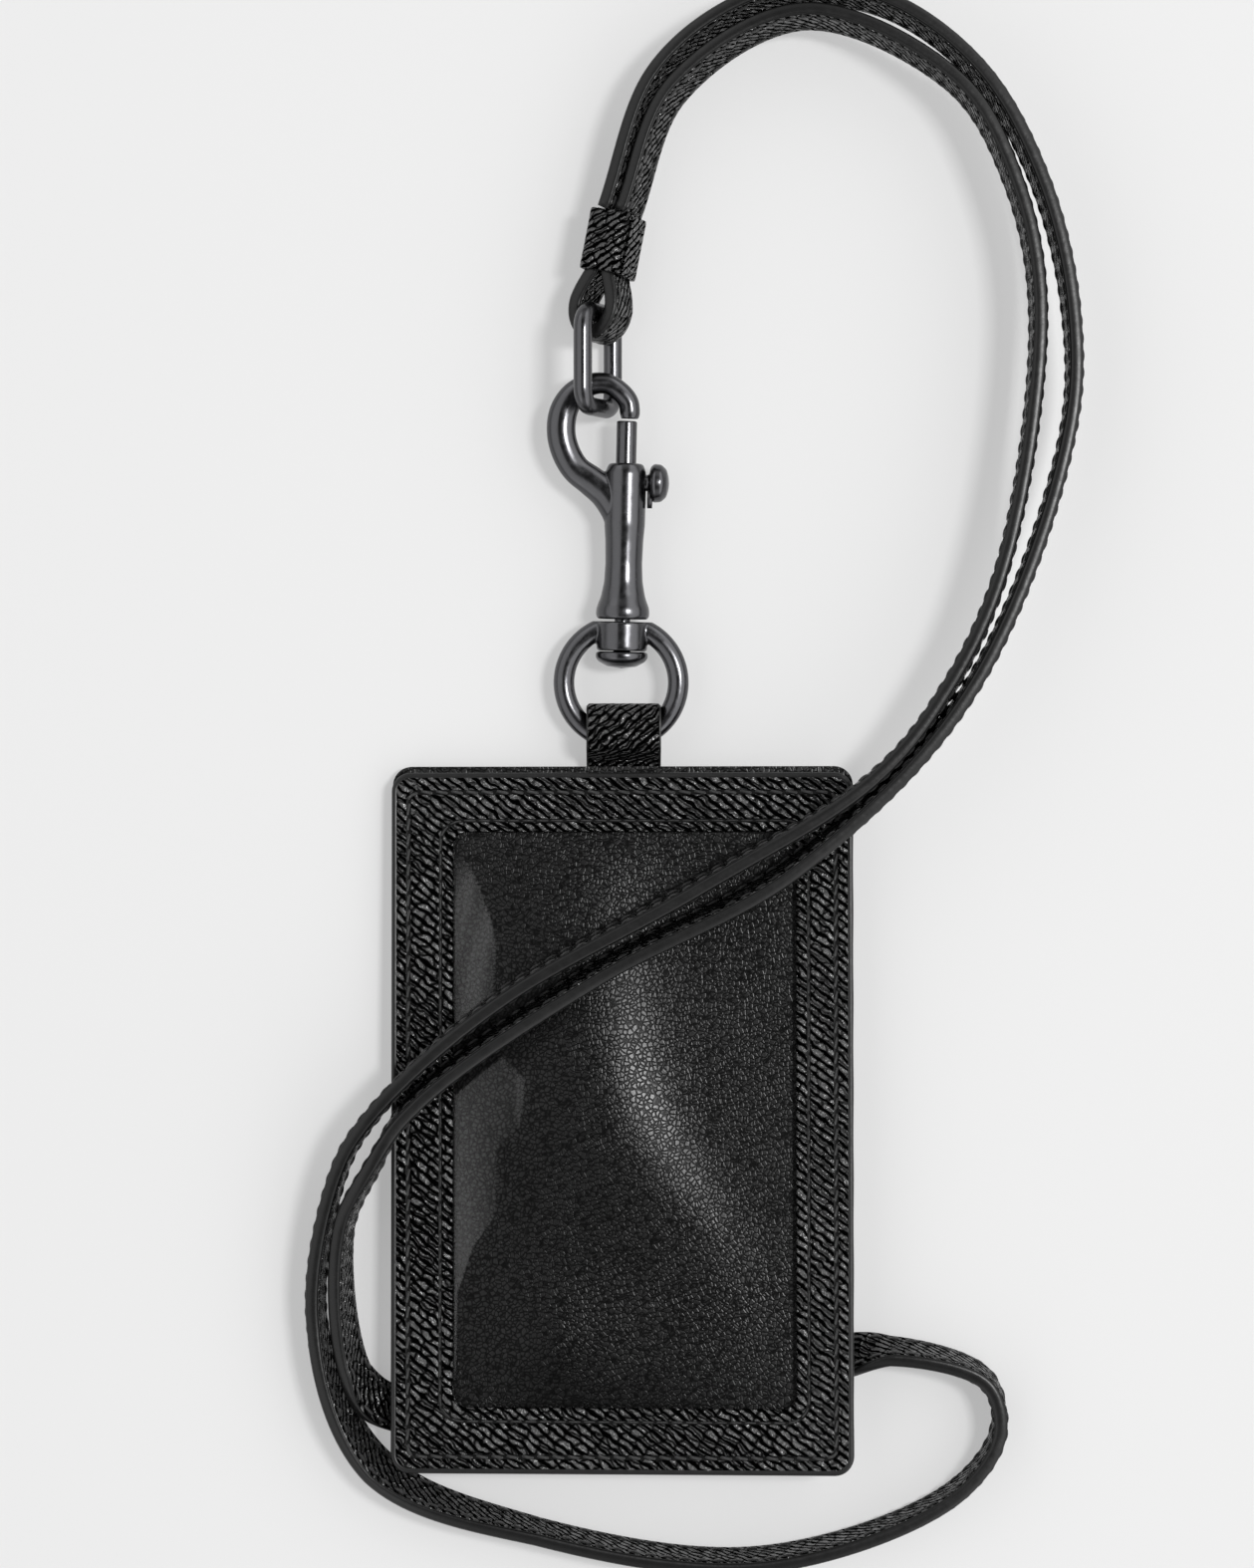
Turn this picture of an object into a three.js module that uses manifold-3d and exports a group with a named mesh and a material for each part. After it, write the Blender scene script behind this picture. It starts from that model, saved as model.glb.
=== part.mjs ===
// A leather lanyard badge holder, lying flat with its strap loosely looped over and under it.
// Millimetres, +Z up. The origin is on the surface under the middle of the badge case,
// +Y runs from the case to the hook and +Z faces the viewer of the window side.
import * as THREE from 'three';
import { mergeVertices } from 'three/addons/utils/BufferGeometryUtils.js';
import Module from 'manifold-3d';

const wasm = await Module();
wasm.setup();

// ---- driving dimensions ----
const CASE_W = 70;
const CASE_H = 107;
const CORNER_R = 2.85;
const PANEL_GAP = 0.05; // glue line between two layers
const CASE_PITCH = 1.75; // degrees: the strap under the case lifts its lower end
const CASE_ROLL = 3.0; // degrees: and its right side more than its left

const LAYERS = { back: 0.7, board: 0.5, lining: 0.4, filler: 0.5, film: 0.25, front: 0.8 };
const BOARD_INSET = 1.4;
const SLOT_DROP = 1.0; // how far the front panel's top edge lies below the back's
const FILLER_W = 5.6;
const FILM_MARGIN = 4;

const WINDOW = { w: 52, h: 87, r: 2.2, x: 0.4, y: 0.0 };
const SEAM = { inset: 2.6, top: 3.0, w: 0.62, depth: 0.32, thread: 0.5 };
const WINDOW_SEAM = 1.9; // how far the window's seam lies outside the window

const TAB_W = 11.3;
const TAB_T = 1.0;
const TAB_SKIVED_T = 0.2; // the tab's ends are pared thin where they are sewn in
const TAB_IN_CASE = 13;

const RING = { x: -0.3, y: 66.3, z: 4.15, r: 8.7, wire: 1.6 };
const HARDWARE_TURN = -1.3; // degrees, the hook leans a little to the right
const HARDWARE_LIFT = 1.7; // degrees, its eye rests on the link
const COLLAR = { r: 3.85, bottom: 4.8, top: 9.2, bore: 1.35 };
const RIVET = { stem: 1.2, head: 3.95, dome: 2.5, foot: 1.9 };
const BELL = { r: 4.05, y: 9.6 };
const BARREL = { r: 3.0, top: 33.2, bore: 1.72 };
const EYE_WIRE = 1.7;
const BOLT = { r: 1.55, top: 39.6, foot: 26.2, travel: 5.6 };
const STUD = { y: 30.3, neck: 1.25, head: 2.95, reach: 6.6, dome: 1.7 };
const STUD_SLOT = 1.5; // half the width of the slot the stud's neck runs in

const LINK = { wire: 1.4, inner_w: 8.2, length: 17.2, corner: 2.7, lean: 24, x: -3.8, y: 115.0, z: 6.5 };

const STRAP_W = 7;
const STRAP_T = 2.1;
const KEEPER = { x: -1.5, y: 132.6, z: 5.7, length: 9.3, wall: 0.7, room: 0.3, turn: -11, lean: 23 };
const LOOP = { w: 2.95, h: 4.1 }; // the strap end's bend round the link, to the middle of the leather

// ---- materials ----
function leather(color = 0x181818) {
  return new THREE.MeshStandardMaterial({ color, roughness: 0.62, metalness: 0 });
}
function gunmetal() {
  return new THREE.MeshStandardMaterial({ color: 0x5b5b5d, roughness: 0.3, metalness: 1 });
}
function thread() {
  return new THREE.MeshStandardMaterial({ color: 0x1c1c1c, roughness: 0.8, metalness: 0 });
}
function board() {
  return new THREE.MeshStandardMaterial({ color: 0x4a4742, roughness: 0.9, metalness: 0 });
}
function clearFilm() {
  const look = { color: 0x2a2a2a, roughness: 0.08, metalness: 0, transparent: true, opacity: 0.4 };
  return new THREE.MeshStandardMaterial(look);
}

// ---- solids ----
function solid(geometry) {
  const bare = geometry.clone();
  bare.deleteAttribute('normal');
  bare.deleteAttribute('uv');
  const welded = mergeVertices(bare, 1e-4);
  const index = welded.index.array;
  const triVerts = Uint32Array.from(index);
  const vertProperties = Float32Array.from(welded.attributes.position.array);
  return new wasm.Manifold(new wasm.Mesh({ numProp: 3, vertProperties, triVerts }));
}

function piece(name, shape, material) {
  let geometry = shape;
  if (shape instanceof wasm.Manifold) {
    const mesh = shape.getMesh();
    geometry = new THREE.BufferGeometry();
    const points = new THREE.BufferAttribute(Float32Array.from(mesh.vertProperties), 3);
    geometry.setAttribute('position', points);
    geometry.setIndex(new THREE.BufferAttribute(Uint32Array.from(mesh.triVerts), 1));
    geometry.computeVertexNormals();
  }
  const node = new THREE.Mesh(geometry, material);
  node.name = name;
  return node;
}

function roundedRect(w, h, r, x = 0, y = 0) {
  const s = new THREE.Shape();
  s.moveTo(x - w / 2 + r, y - h / 2);
  s.lineTo(x + w / 2 - r, y - h / 2);
  s.absarc(x + w / 2 - r, y - h / 2 + r, r, -Math.PI / 2, 0, false);
  s.lineTo(x + w / 2, y + h / 2 - r);
  s.absarc(x + w / 2 - r, y + h / 2 - r, r, 0, Math.PI / 2, false);
  s.lineTo(x - w / 2 + r, y + h / 2);
  s.absarc(x - w / 2 + r, y + h / 2 - r, r, Math.PI / 2, Math.PI, false);
  s.lineTo(x - w / 2, y - h / 2 + r);
  s.absarc(x - w / 2 + r, y - h / 2 + r, r, Math.PI, Math.PI * 1.5, false);
  return s;
}

function slab(shape, z0, z1, segments = 5) {
  const cut = { depth: z1 - z0, bevelEnabled: false, curveSegments: segments };
  return solid(new THREE.ExtrudeGeometry(shape, cut).translate(0, 0, z0));
}

function seamBand(w, h, r, x, y, half, z0, z1) {
  const outside = slab(roundedRect(w + half * 2, h + half * 2, r + half, x, y), z0, z1);
  const inside = slab(roundedRect(w - half * 2, h - half * 2, r - half, x, y), z0 - 1, z1 + 1);
  return outside.subtract(inside);
}

// A lathe about +Y: points are [radius, height] pairs from the bottom up.
function turned(profile, segments = 24) {
  const points = profile.map(([r, y]) => new THREE.Vector2(r, y));
  return solid(new THREE.LatheGeometry(points, segments));
}

// A tube along a curve whose section is given by its half width and half height at each step.
function sweep(points, sideways, section, closed = false) {
  const rings = points.length;
  const sides = section(0).length;
  const position = [];
  points.forEach((p, i) => {
    const before = points[closed ? (i + rings - 1) % rings : Math.max(i - 1, 0)];
    const after = points[closed ? (i + 1) % rings : Math.min(i + 1, rings - 1)];
    const along = after.clone().sub(before).normalize();
    const side = sideways(i).clone();
    side.addScaledVector(along, -side.dot(along)).normalize();
    const up = new THREE.Vector3().crossVectors(side, along);
    section(i / (rings - 1)).forEach(([a, b]) => {
      position.push(...p.clone().addScaledVector(side, a).addScaledVector(up, b).toArray());
    });
  });
  const index = [];
  for (let i = 0; i < (closed ? rings : rings - 1); i += 1) {
    for (let j = 0; j < sides; j += 1) {
      const a = i * sides + j;
      const b = i * sides + ((j + 1) % sides);
      const c = ((i + 1) % rings) * sides + ((j + 1) % sides);
      const d = ((i + 1) % rings) * sides + j;
      index.push(a, b, c, a, c, d);
    }
  }
  if (!closed) {
    const last = (rings - 1) * sides;
    for (let j = 1; j < sides - 1; j += 1) {
      index.push(0, j + 1, j);
      index.push(last, last + j, last + j + 1);
    }
  }
  const geometry = new THREE.BufferGeometry();
  geometry.setAttribute('position', new THREE.Float32BufferAttribute(position, 3));
  geometry.setIndex(index);
  geometry.computeVertexNormals();
  const made = solid(geometry);
  if (made.volume() > 0) return made;
  geometry.setIndex(index.reverse());
  return solid(geometry);
}

function roundSection(radius, sides = 8) {
  return () => Array.from({ length: sides }, (_, k) => {
    const t = (k / sides) * Math.PI * 2;
    return [Math.cos(t) * radius, Math.sin(t) * radius];
  });
}

// A flat strap's section: side is its width, up its thickness, with softened corners.
function strapSection(w, t, soft = 0.5) {
  const [a, b] = [w / 2, t / 2];
  return () => [
    [a, -b + soft], [a, b - soft], [a - soft, b], [-a + soft, b],
    [-a, b - soft], [-a, -b + soft], [-a + soft, -b], [a - soft, -b],
  ];
}

// ---- the badge case ----
const stack = {};
let level = 0;
for (const [name, t] of Object.entries(LAYERS)) {
  stack[name] = [level, level + t];
  level += t + PANEL_GAP;
}
const CASE_T = level - PANEL_GAP;

function threadLoop(name, w, h, r, x, y, z) {
  const outline = roundedRect(w, h, r, x, y).getPoints(3).map((p) => new THREE.Vector3(p.x, p.y, z));
  outline.pop();
  const flat = new THREE.Vector3(0, 0, 1);
  return piece(name, sweep(outline, () => flat, roundSection(SEAM.thread / 2, 6), true), thread());
}

function seamOutline() {
  const w = CASE_W - SEAM.inset * 2;
  const h = CASE_H - SLOT_DROP - SEAM.inset - SEAM.top;
  return [w, h, 1.6, 0, (SEAM.inset - SEAM.top - SLOT_DROP) / 2];
}

function windowSeamOutline() {
  const w = WINDOW.w + WINDOW_SEAM * 2;
  return [w, WINDOW.h + WINDOW_SEAM * 2, 2.6, WINDOW.x, WINDOW.y - 0.2];
}

function frontFrame() {
  const [z0, z1] = stack.front;
  const outline = roundedRect(CASE_W, CASE_H - SLOT_DROP, CORNER_R, 0, -SLOT_DROP / 2);
  const opening = slab(roundedRect(WINDOW.w, WINDOW.h, WINDOW.r, WINDOW.x, WINDOW.y), z0 - 1, z1 + 1);
  const seams = [seamOutline(), windowSeamOutline()].map((line) => (
    seamBand(...line, SEAM.w / 2, z1 - SEAM.depth, z1 + 1)));
  const panel = slab(outline, z0, z1).subtract(opening).subtract(seams[0]).subtract(seams[1]);
  return piece('front_frame', panel, leather());
}

function windowFilm() {
  const film = roundedRect(WINDOW.w + FILM_MARGIN, WINDOW.h + FILM_MARGIN, 2.6, WINDOW.x, WINDOW.y);
  return piece('window_film', slab(film, ...stack.film), clearFilm());
}

function pocketFiller() {
  const whole = slab(roundedRect(CASE_W, CASE_H, CORNER_R), ...stack.filler);
  const [z0, z1] = stack.filler;
  const inside = new THREE.Shape();
  inside.moveTo(-CASE_W / 2 + FILLER_W, -CASE_H / 2 + FILLER_W);
  inside.lineTo(CASE_W / 2 - FILLER_W, -CASE_H / 2 + FILLER_W);
  inside.lineTo(CASE_W / 2 - FILLER_W, CASE_H);
  inside.lineTo(-CASE_W / 2 + FILLER_W, CASE_H);
  return piece('pocket_filler', whole.subtract(slab(inside, z0 - 1, z1 + 1)), leather(0x202020));
}

function fullPanel(name, layer, material) {
  return piece(name, slab(roundedRect(CASE_W, CASE_H, CORNER_R), ...stack[layer]), material);
}

function backPanel() {
  const [z0, z1] = stack.back;
  const groove = seamBand(...seamOutline(), SEAM.w / 2, z0 - 1, z0 + SEAM.depth);
  const panel = slab(roundedRect(CASE_W, CASE_H, CORNER_R), z0, z1).subtract(groove);
  return piece('back_panel', panel, leather());
}

function stiffener() {
  const [z0, z1] = stack.board;
  const w = CASE_W - BOARD_INSET * 2;
  const h = CASE_H - BOARD_INSET * 2;
  const notch = slab(roundedRect(TAB_W + 1, 30, 0.5, 0, CASE_H / 2 - TAB_IN_CASE + 14.5), z0 - 1, z1 + 1);
  const sheet = slab(roundedRect(w, h, CORNER_R - 1), z0, z1).subtract(notch);
  return piece('stiffener_board', sheet, board());
}

function buildCase() {
  const layers = new THREE.Group();
  const frontSeamZ = stack.front[1] - SEAM.depth + SEAM.thread / 2 + 0.04;
  const backSeamZ = SEAM.depth - SEAM.thread / 2 - 0.04;
  layers.add(
    backPanel(),
    stiffener(),
    fullPanel('pocket_lining', 'lining', leather(0x141414)),
    pocketFiller(),
    windowFilm(),
    frontFrame(),
    threadLoop('front_edge_stitching', ...seamOutline(), frontSeamZ),
    threadLoop('window_stitching', ...windowSeamOutline(), frontSeamZ),
    threadLoop('back_edge_stitching', ...seamOutline(), backSeamZ),
  );
  return layers;
}

// The case's layers are stacked from z = 0 round their own middle, then the stack is
// set down with its top left corner on the surface.
function placeCase(layers) {
  const seated = new THREE.Group();
  layers.position.set(CASE_W / 2, -CASE_H / 2, 0);
  seated.add(layers);
  seated.rotation.set(-THREE.MathUtils.degToRad(CASE_PITCH), -THREE.MathUtils.degToRad(CASE_ROLL), 0);
  seated.position.set(-CASE_W / 2, CASE_H / 2, 0.06);
  return seated;
}

// The tab is one strip of leather, folded over the ring, with both ends sewn into the case.
function tabPiece() {
  // built in the case's own frame, where the ring's bar is at a known height
  const { ringY, ringZ } = ringInCase();
  const mid = (stack.board[0] + stack.board[1]) / 2;
  const thin = TAB_SKIVED_T;
  const foldR = 2.6;
  const foldY = ringY + 2.4;
  const upper = [
    [-TAB_IN_CASE, mid + 0.13, thin], [-0.6, mid + 0.13, thin], [0.25, mid + 0.15, thin],
    [1.3, mid + 1.0, 0.7], [2.6, ringZ + foldR - 0.9, TAB_T], [4.2, ringZ + foldR - 0.06, TAB_T],
    [foldY - 0.6, ringZ + foldR, TAB_T],
  ];
  const lower = [
    [foldY - 0.6, ringZ - foldR, TAB_T], [4.0, ringZ - foldR + 0.02, TAB_T],
    [2.2, mid - 0.75, 0.9], [1.1, mid - 0.5, 0.6], [0.25, mid - 0.14, thin],
    [-0.6, mid - 0.13, thin], [-TAB_IN_CASE, mid - 0.13, thin],
  ];
  const bend = Array.from({ length: 11 }, (_, k) => {
    const t = Math.PI / 2 - (k / 10) * Math.PI;
    return [foldY + Math.cos(t) * foldR, ringZ + Math.sin(t) * foldR, TAB_T];
  });
  const path = [...upper, ...bend, ...lower];
  const outline = ribbonOutline(path);
  const cut = { depth: TAB_W, bevelEnabled: false };
  const flat = new THREE.ExtrudeGeometry(outline, cut);
  flat.translate(0, 0, -TAB_W / 2);
  // the outline is drawn as (y, z) and extruded along x
  const turn = new THREE.Matrix4().makeBasis(
    new THREE.Vector3(0, 1, 0),
    new THREE.Vector3(0, 0, 1),
    new THREE.Vector3(1, 0, 0),
  );
  flat.applyMatrix4(turn);
  return piece('leather_tab', solid(flat), leather());
}

// An outline of given thickness along a path of [a, b, thickness] points.
function ribbonOutline(path) {
  const left = [];
  const right = [];
  path.forEach(([a, b, t], i) => {
    const [a0, b0] = path[Math.max(i - 1, 0)];
    const [a1, b1] = path[Math.min(i + 1, path.length - 1)];
    const length = Math.hypot(a1 - a0, b1 - b0);
    const n = [-(b1 - b0) / length, (a1 - a0) / length];
    left.push(new THREE.Vector2(a + (n[0] * t) / 2, b + (n[1] * t) / 2));
    right.push(new THREE.Vector2(a - (n[0] * t) / 2, b - (n[1] * t) / 2));
  });
  return new THREE.Shape([...left, ...right.reverse()]);
}

// Where the ring's bar is in the frame of the case's top edge: y along it, z off its back.
function ringInCase() {
  const bar = new THREE.Vector3(0, RING.y - RING.r, RING.z);
  const seated = placeCase(new THREE.Group());
  seated.updateMatrixWorld(true);
  const local = seated.worldToLocal(bar);
  return { ringX: local.x, ringY: local.y, ringZ: local.z };
}

// ---- the hook's hardware: built along +Y from the ring's centre, then laid down ----
function swivelRing() {
  const torus = new THREE.TorusGeometry(RING.r, RING.wire, 12, 40);
  const { r, bottom, top, bore } = COLLAR;
  const collar = turned([
    [0, bottom], [r - 0.5, bottom], [r, bottom + 0.5], [r, top - 0.4], [r - 0.4, top], [0, top],
  ]);
  const hole = turned([[0, bottom - 2], [bore, bottom - 2], [bore, top + 2], [0, top + 2]], 20);
  const above = solid(new THREE.BoxGeometry(30, 4, 8).translate(0, top + 2, 0));
  const made = solid(torus).add(collar).subtract(hole).subtract(above);
  const node = piece('swivel_ring', made, gunmetal());
  node.rotation.y = -THREE.MathUtils.degToRad(CASE_ROLL);
  return node;
}

function swivelRivet() {
  const { stem, head, dome, foot } = RIVET;
  const under = COLLAR.bottom - 0.12;
  const top = BELL.y + foot;
  const profile = [
    [0, under - dome], [head * 0.55, under - dome + 0.25], [head * 0.88, under - dome + 0.9],
    [head, under - dome * 0.42], [head, under - 0.35], [head - 0.3, under],
    [stem, under], [stem, top], [0, top],
  ];
  return piece('swivel_rivet', turned(profile), gunmetal());
}

function hookBody() {
  const { y } = BELL;
  const { r, top, bore } = BARREL;
  const body = turned([
    [0, y], [BELL.r - 0.4, y], [BELL.r, y + 0.4], [BELL.r, y + 1.6], [r + 0.35, y + 2.9],
    [r - 0.1, y + 5.2], [r - 0.3, y + 8], [r, y + 11.5], [r + 0.1, top - 1.2], [r - 0.6, top], [0, top],
  ], 28);
  const shoulder = turned([[0, 27.2], [r - 0.3, 27.2], [r + 0.1, 28.4], [r + 0.1, top - 1], [0, top]], 20);
  // the eye: a bar of round section, from the barrel's left side, out and round to the nose
  const route = [
    [0.0, 23.2], [-1.2, 26.2], [-2.9, 28.6], [-5.2, 30.4], [-7.6, 32.2], [-9.2, 34.8],
    [-9.95, 37.8], [-9.6, 41.0], [-8.1, 43.5], [-5.7, 45.0], [-3.2, 45.2], [-1.2, 44.1],
    [0.1, 42.6], [0.4, 41.2], [0.4, 39.95],
  ];
  const curve = new THREE.CatmullRomCurve3(route.map(([a, b]) => new THREE.Vector3(a, b, 0)));
  const points = curve.getPoints(44);
  const flat = new THREE.Vector3(0, 0, 1);
  const bar = sweep(points, () => flat, (u) => {
    const root = 1 - THREE.MathUtils.smoothstep(u, 0.1, 0.3);
    const tip = THREE.MathUtils.smoothstep(u, 0.45, 0.75);
    const wide = EYE_WIRE + 0.5 + root * 0.35 - tip * 0.65;
    const tall = EYE_WIRE + root * 0.6 - tip * 0.15;
    return roundSection(1, 12)().map(([a, b]) => [a * tall, b * wide]);
  });
  const pit = BOLT.foot - BOLT.travel - 0.4;
  const hollow = turned([[0, pit], [bore, pit], [bore, top + 3], [0, top + 3]], 20);
  const stemHole = turned([[0, y - 1], [RIVET.stem + 0.14, y - 1], [RIVET.stem + 0.14, y + 2.8], [0, y + 2.8]], 16);
  const slotH = BOLT.travel + STUD_SLOT * 2;
  const slot = solid(new THREE.BoxGeometry(BARREL.r * 2, slotH, STUD_SLOT * 2)
    .translate(BARREL.r, STUD.y + STUD_SLOT - slotH / 2 + 0.1, 0));
  const made = body.add(shoulder).add(bar).subtract(hollow).subtract(stemHole).subtract(slot);
  return piece('hook_body', made, gunmetal());
}

function bolt() {
  const { r, foot, top } = BOLT;
  const pin = turned([[0, foot], [r - 0.2, foot], [r, foot + 0.2], [r, top - 0.35], [r - 0.35, top], [0, top]], 18);
  const seat = solid(new THREE.CylinderGeometry(STUD.neck + 0.06, STUD.neck + 0.06, 4, 14)
    .rotateZ(Math.PI / 2).translate(2.6, STUD.y, 0));
  return piece('latch_bolt', pin.subtract(seat), gunmetal());
}

function thumbStud() {
  const { neck, head, reach, dome, y } = STUD;
  const profile = [
    [0, 0.66], [neck, 0.66], [neck, 3.5], [head - 0.5, 3.9], [head, 4.4],
    [head - 0.1, reach - dome + 0.7], [head * 0.7, reach - 0.35], [0, reach],
  ];
  const knob = turned(profile, 20);
  const tongue = solid(new THREE.BoxGeometry(1.1, 3.4, 2.0).translate(3.85, 0, 0));
  const along = new THREE.Matrix4().makeRotationZ(-Math.PI / 2);
  const geometry = piece('x', knob).geometry.applyMatrix4(along);
  const shifted = solid(geometry).add(tongue.translate([0, -2.2, 0])).translate([0, y, 0]);
  return piece('thumb_stud', shifted, gunmetal());
}

function boltSpring() {
  const [from, to] = [BOLT.foot - BOLT.travel - 0.2, BOLT.foot - 0.2];
  const coils = 6;
  const points = Array.from({ length: 61 }, (_, k) => {
    const t = k / 60;
    const turnBy = t * coils * Math.PI * 2;
    return new THREE.Vector3(Math.cos(turnBy) * 1.15, from + t * (to - from), Math.sin(turnBy) * 1.15);
  });
  const up = new THREE.Vector3(0, 1, 0);
  return piece('bolt_spring', sweep(points, () => up, roundSection(0.13, 6)), gunmetal());
}

function layDown(...parts) {
  const line = new THREE.Group();
  line.add(...parts);
  line.rotation.set(
    THREE.MathUtils.degToRad(HARDWARE_LIFT),
    0,
    THREE.MathUtils.degToRad(HARDWARE_TURN),
    'XZY',
  );
  line.position.set(RING.x, RING.y, RING.z);
  return line;
}

// ---- the link between the hook's eye and the strap ----
function link() {
  const halfW = LINK.inner_w / 2 + LINK.wire;
  const outline = roundedRect(halfW * 2, LINK.length - LINK.wire * 2, LINK.corner);
  const points = outline.getPoints(6).map((p) => new THREE.Vector3(p.x, p.y, 0));
  points.pop();
  const flat = new THREE.Vector3(0, 0, 1);
  const wire = sweep(points, () => flat, roundSection(LINK.wire, 10), true);
  const node = piece('oblong_link', wire, gunmetal());
  const stood = new THREE.Group();
  stood.add(node);
  stood.rotation.set(0, THREE.MathUtils.degToRad(90 - LINK.lean), 0);
  stood.position.set(LINK.x, LINK.y, LINK.z);
  return stood;
}

// ---- the strap's end: a loop round the link, and the keeper that holds it shut ----
function strapLoop() {
  const half = KEEPER.length / 2 - 0.3;
  const apart = STRAP_T / 2 + 0.17;
  const bottom = -KEEPER.length / 2 - 5.2;
  const right = [[apart, half], [apart, -KEEPER.length / 2 + 0.4], [apart + 0.5, -KEEPER.length / 2 - 1.0]];
  const bow = Array.from({ length: 9 }, (_, k) => {
    const t = 0.55 - (k / 8) * (Math.PI + 1.1);
    return [Math.cos(t) * LOOP.w, bottom + Math.sin(t) * LOOP.h];
  });
  const left = right.map(([a, b]) => [-a, b]).reverse();
  const line = [...right, ...bow, ...left].map(([a, b]) => new THREE.Vector3(a, b, 0));
  const curve = new THREE.CatmullRomCurve3(line, false, 'catmullrom', 0.5);
  const flat = new THREE.Vector3(0, 0, 1);
  const made = sweep(curve.getPoints(56), () => flat, strapSection(STRAP_W, STRAP_T));
  return piece('strap_loop', made, leather());
}

function keeper() {
  const { length, wall, room } = KEEPER;
  const innerW = STRAP_T * 2 + 0.34 + room;
  const innerH = STRAP_W + room;
  const outer = roundedRect(innerW + wall * 2, innerH + wall * 2, 1.1);
  const inner = roundedRect(innerW, innerH, 0.5);
  const lap = roundedRect(wall, innerH * 0.55, wall * 0.4, innerW / 2 + wall * 1.35, 0.3);
  const sleeve = slab(outer, -length / 2, length / 2).add(slab(lap, -length / 2 + 0.4, length / 2 - 0.4))
    .subtract(slab(inner, -length, length));
  const node = piece('keeper', sleeve, leather());
  node.geometry.rotateX(-Math.PI / 2);
  return node;
}

function placeStrapEnd(...parts) {
  const end = new THREE.Group();
  end.add(...parts);
  end.rotation.set(
    0,
    -THREE.MathUtils.degToRad(KEEPER.lean),
    THREE.MathUtils.degToRad(KEEPER.turn),
    'ZYX',
  );
  end.position.set(KEEPER.x, KEEPER.y, KEEPER.z);
  return end;
}

// ---- the long strap: one closed band from the keeper, round, and back to the keeper ----
// Each point is the middle of the strap: x, y, z, and the lean of its upper edge to the
// left of the way it runs, in degrees.
const ROUTE = [
  [0.7, 137.3, 5.7, 23], [8.0, 155.8, 7.0, 21], [27.4, 166.7, 8.2, 13], [50.0, 156.6, 9.4, 6],
  [58.6, 142.0, 10.0, 4], [62.4, 122.5, 10.5, 3], [57.2, 84.0, 11.2, -4], [48.2, 64.2, 11.4, -7],
  [37.0, 51.2, 11.5, 0], [10.6, 35.0, 10.6, 5], [-19.2, 18.0, 9.5, 5], [-37.6, 1.2, 8.5, -3],
  [-43.2, -8.4, 6.2, -5], [-46.4, -31.5, 3.8, -8], [-37.3, -52.9, 3.6, -38], [-13.0, -62.6, 3.8, -14],
  [21.0, -66.9, 3.8, -13], [49.6, -57.2, 3.7, -7], [57.0, -47.6, 3.7, 0], [55.2, -39.6, 3.8, 8],
  [40.6, -35.2, 3.7, 20], [28.6, -37.2, 1.4, 84], [0.0, -41.6, 1.2, 90], [-35.4, -44.0, 1.4, 84],
  [-40.6, -38.6, 3.4, 28], [-42.4, -17.0, 5.6, 10], [-37.8, -6.8, 8.8, 6], [-31.9, 2.4, 9.4, -9],
  [-4.8, 21.9, 9.9, -16], [25.0, 38.0, 11.1, -15], [51.5, 64.2, 11.4, -2], [66.7, 103.0, 10.9, 1],
  [67.3, 122.5, 10.5, -3], [62.6, 142.0, 10.0, -4], [53.6, 158.0, 9.4, -7], [40.4, 168.0, 8.8, -10],
  [27.0, 170.4, 8.2, -14], [15.4, 166.6, 7.6, -18], [5.0, 157.2, 7.0, -21], [-1.75, 137.75, 5.7, -23],
];

function lanyardStrap() {
  const route = new THREE.CatmullRomCurve3(ROUTE.map(([x, y, z]) => new THREE.Vector3(x, y, z)));
  const steps = 78;
  const points = route.getPoints(steps);
  const leanAt = (i) => {
    const at = (i / steps) * (ROUTE.length - 1);
    const k = Math.min(Math.floor(at), ROUTE.length - 2);
    return THREE.MathUtils.degToRad(THREE.MathUtils.lerp(ROUTE[k][3], ROUTE[k + 1][3], at - k));
  };
  // where it lies on the surface, the strap's middle is as high as its lean leaves it
  points.forEach((p, i) => {
    const reach = (STRAP_W / 2) * Math.cos(leanAt(i)) + (STRAP_T / 2) * Math.abs(Math.sin(leanAt(i)));
    p.z = Math.max(p.z, reach + 0.05);
  });
  const sideways = (i) => {
    const lean = leanAt(i);
    const before = points[Math.max(i - 1, 0)];
    const along = points[Math.min(i + 1, steps)].clone().sub(before).setZ(0).normalize();
    const left = new THREE.Vector3(-along.y, along.x, 0);
    return new THREE.Vector3(0, 0, Math.cos(lean)).addScaledVector(left, Math.sin(lean));
  };
  const made = sweep(points, sideways, strapSection(STRAP_W, STRAP_T));
  return piece('lanyard_strap', made, leather());
}

// ---- assembly ----
const badgeHolder = new THREE.Group();
const layers = buildCase();
const seated = placeCase(layers);
const tab = tabPiece();
tab.position.set(CASE_W / 2, 0, 0);
seated.add(tab);
badgeHolder.add(
  seated,
  layDown(swivelRing(), swivelRivet(), hookBody(), bolt(), thumbStud(), boltSpring()),
  link(),
  placeStrapEnd(strapLoop(), keeper()),
  lanyardStrap(),
);

export default badgeHolder;
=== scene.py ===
"""A leather lanyard badge holder laid flat, with its neck strap looped over and under it."""
from math import ceil, cos, exp, hypot, pi, radians, sin

import bpy
import numpy as np
from mathutils import Matrix, Vector


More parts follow.
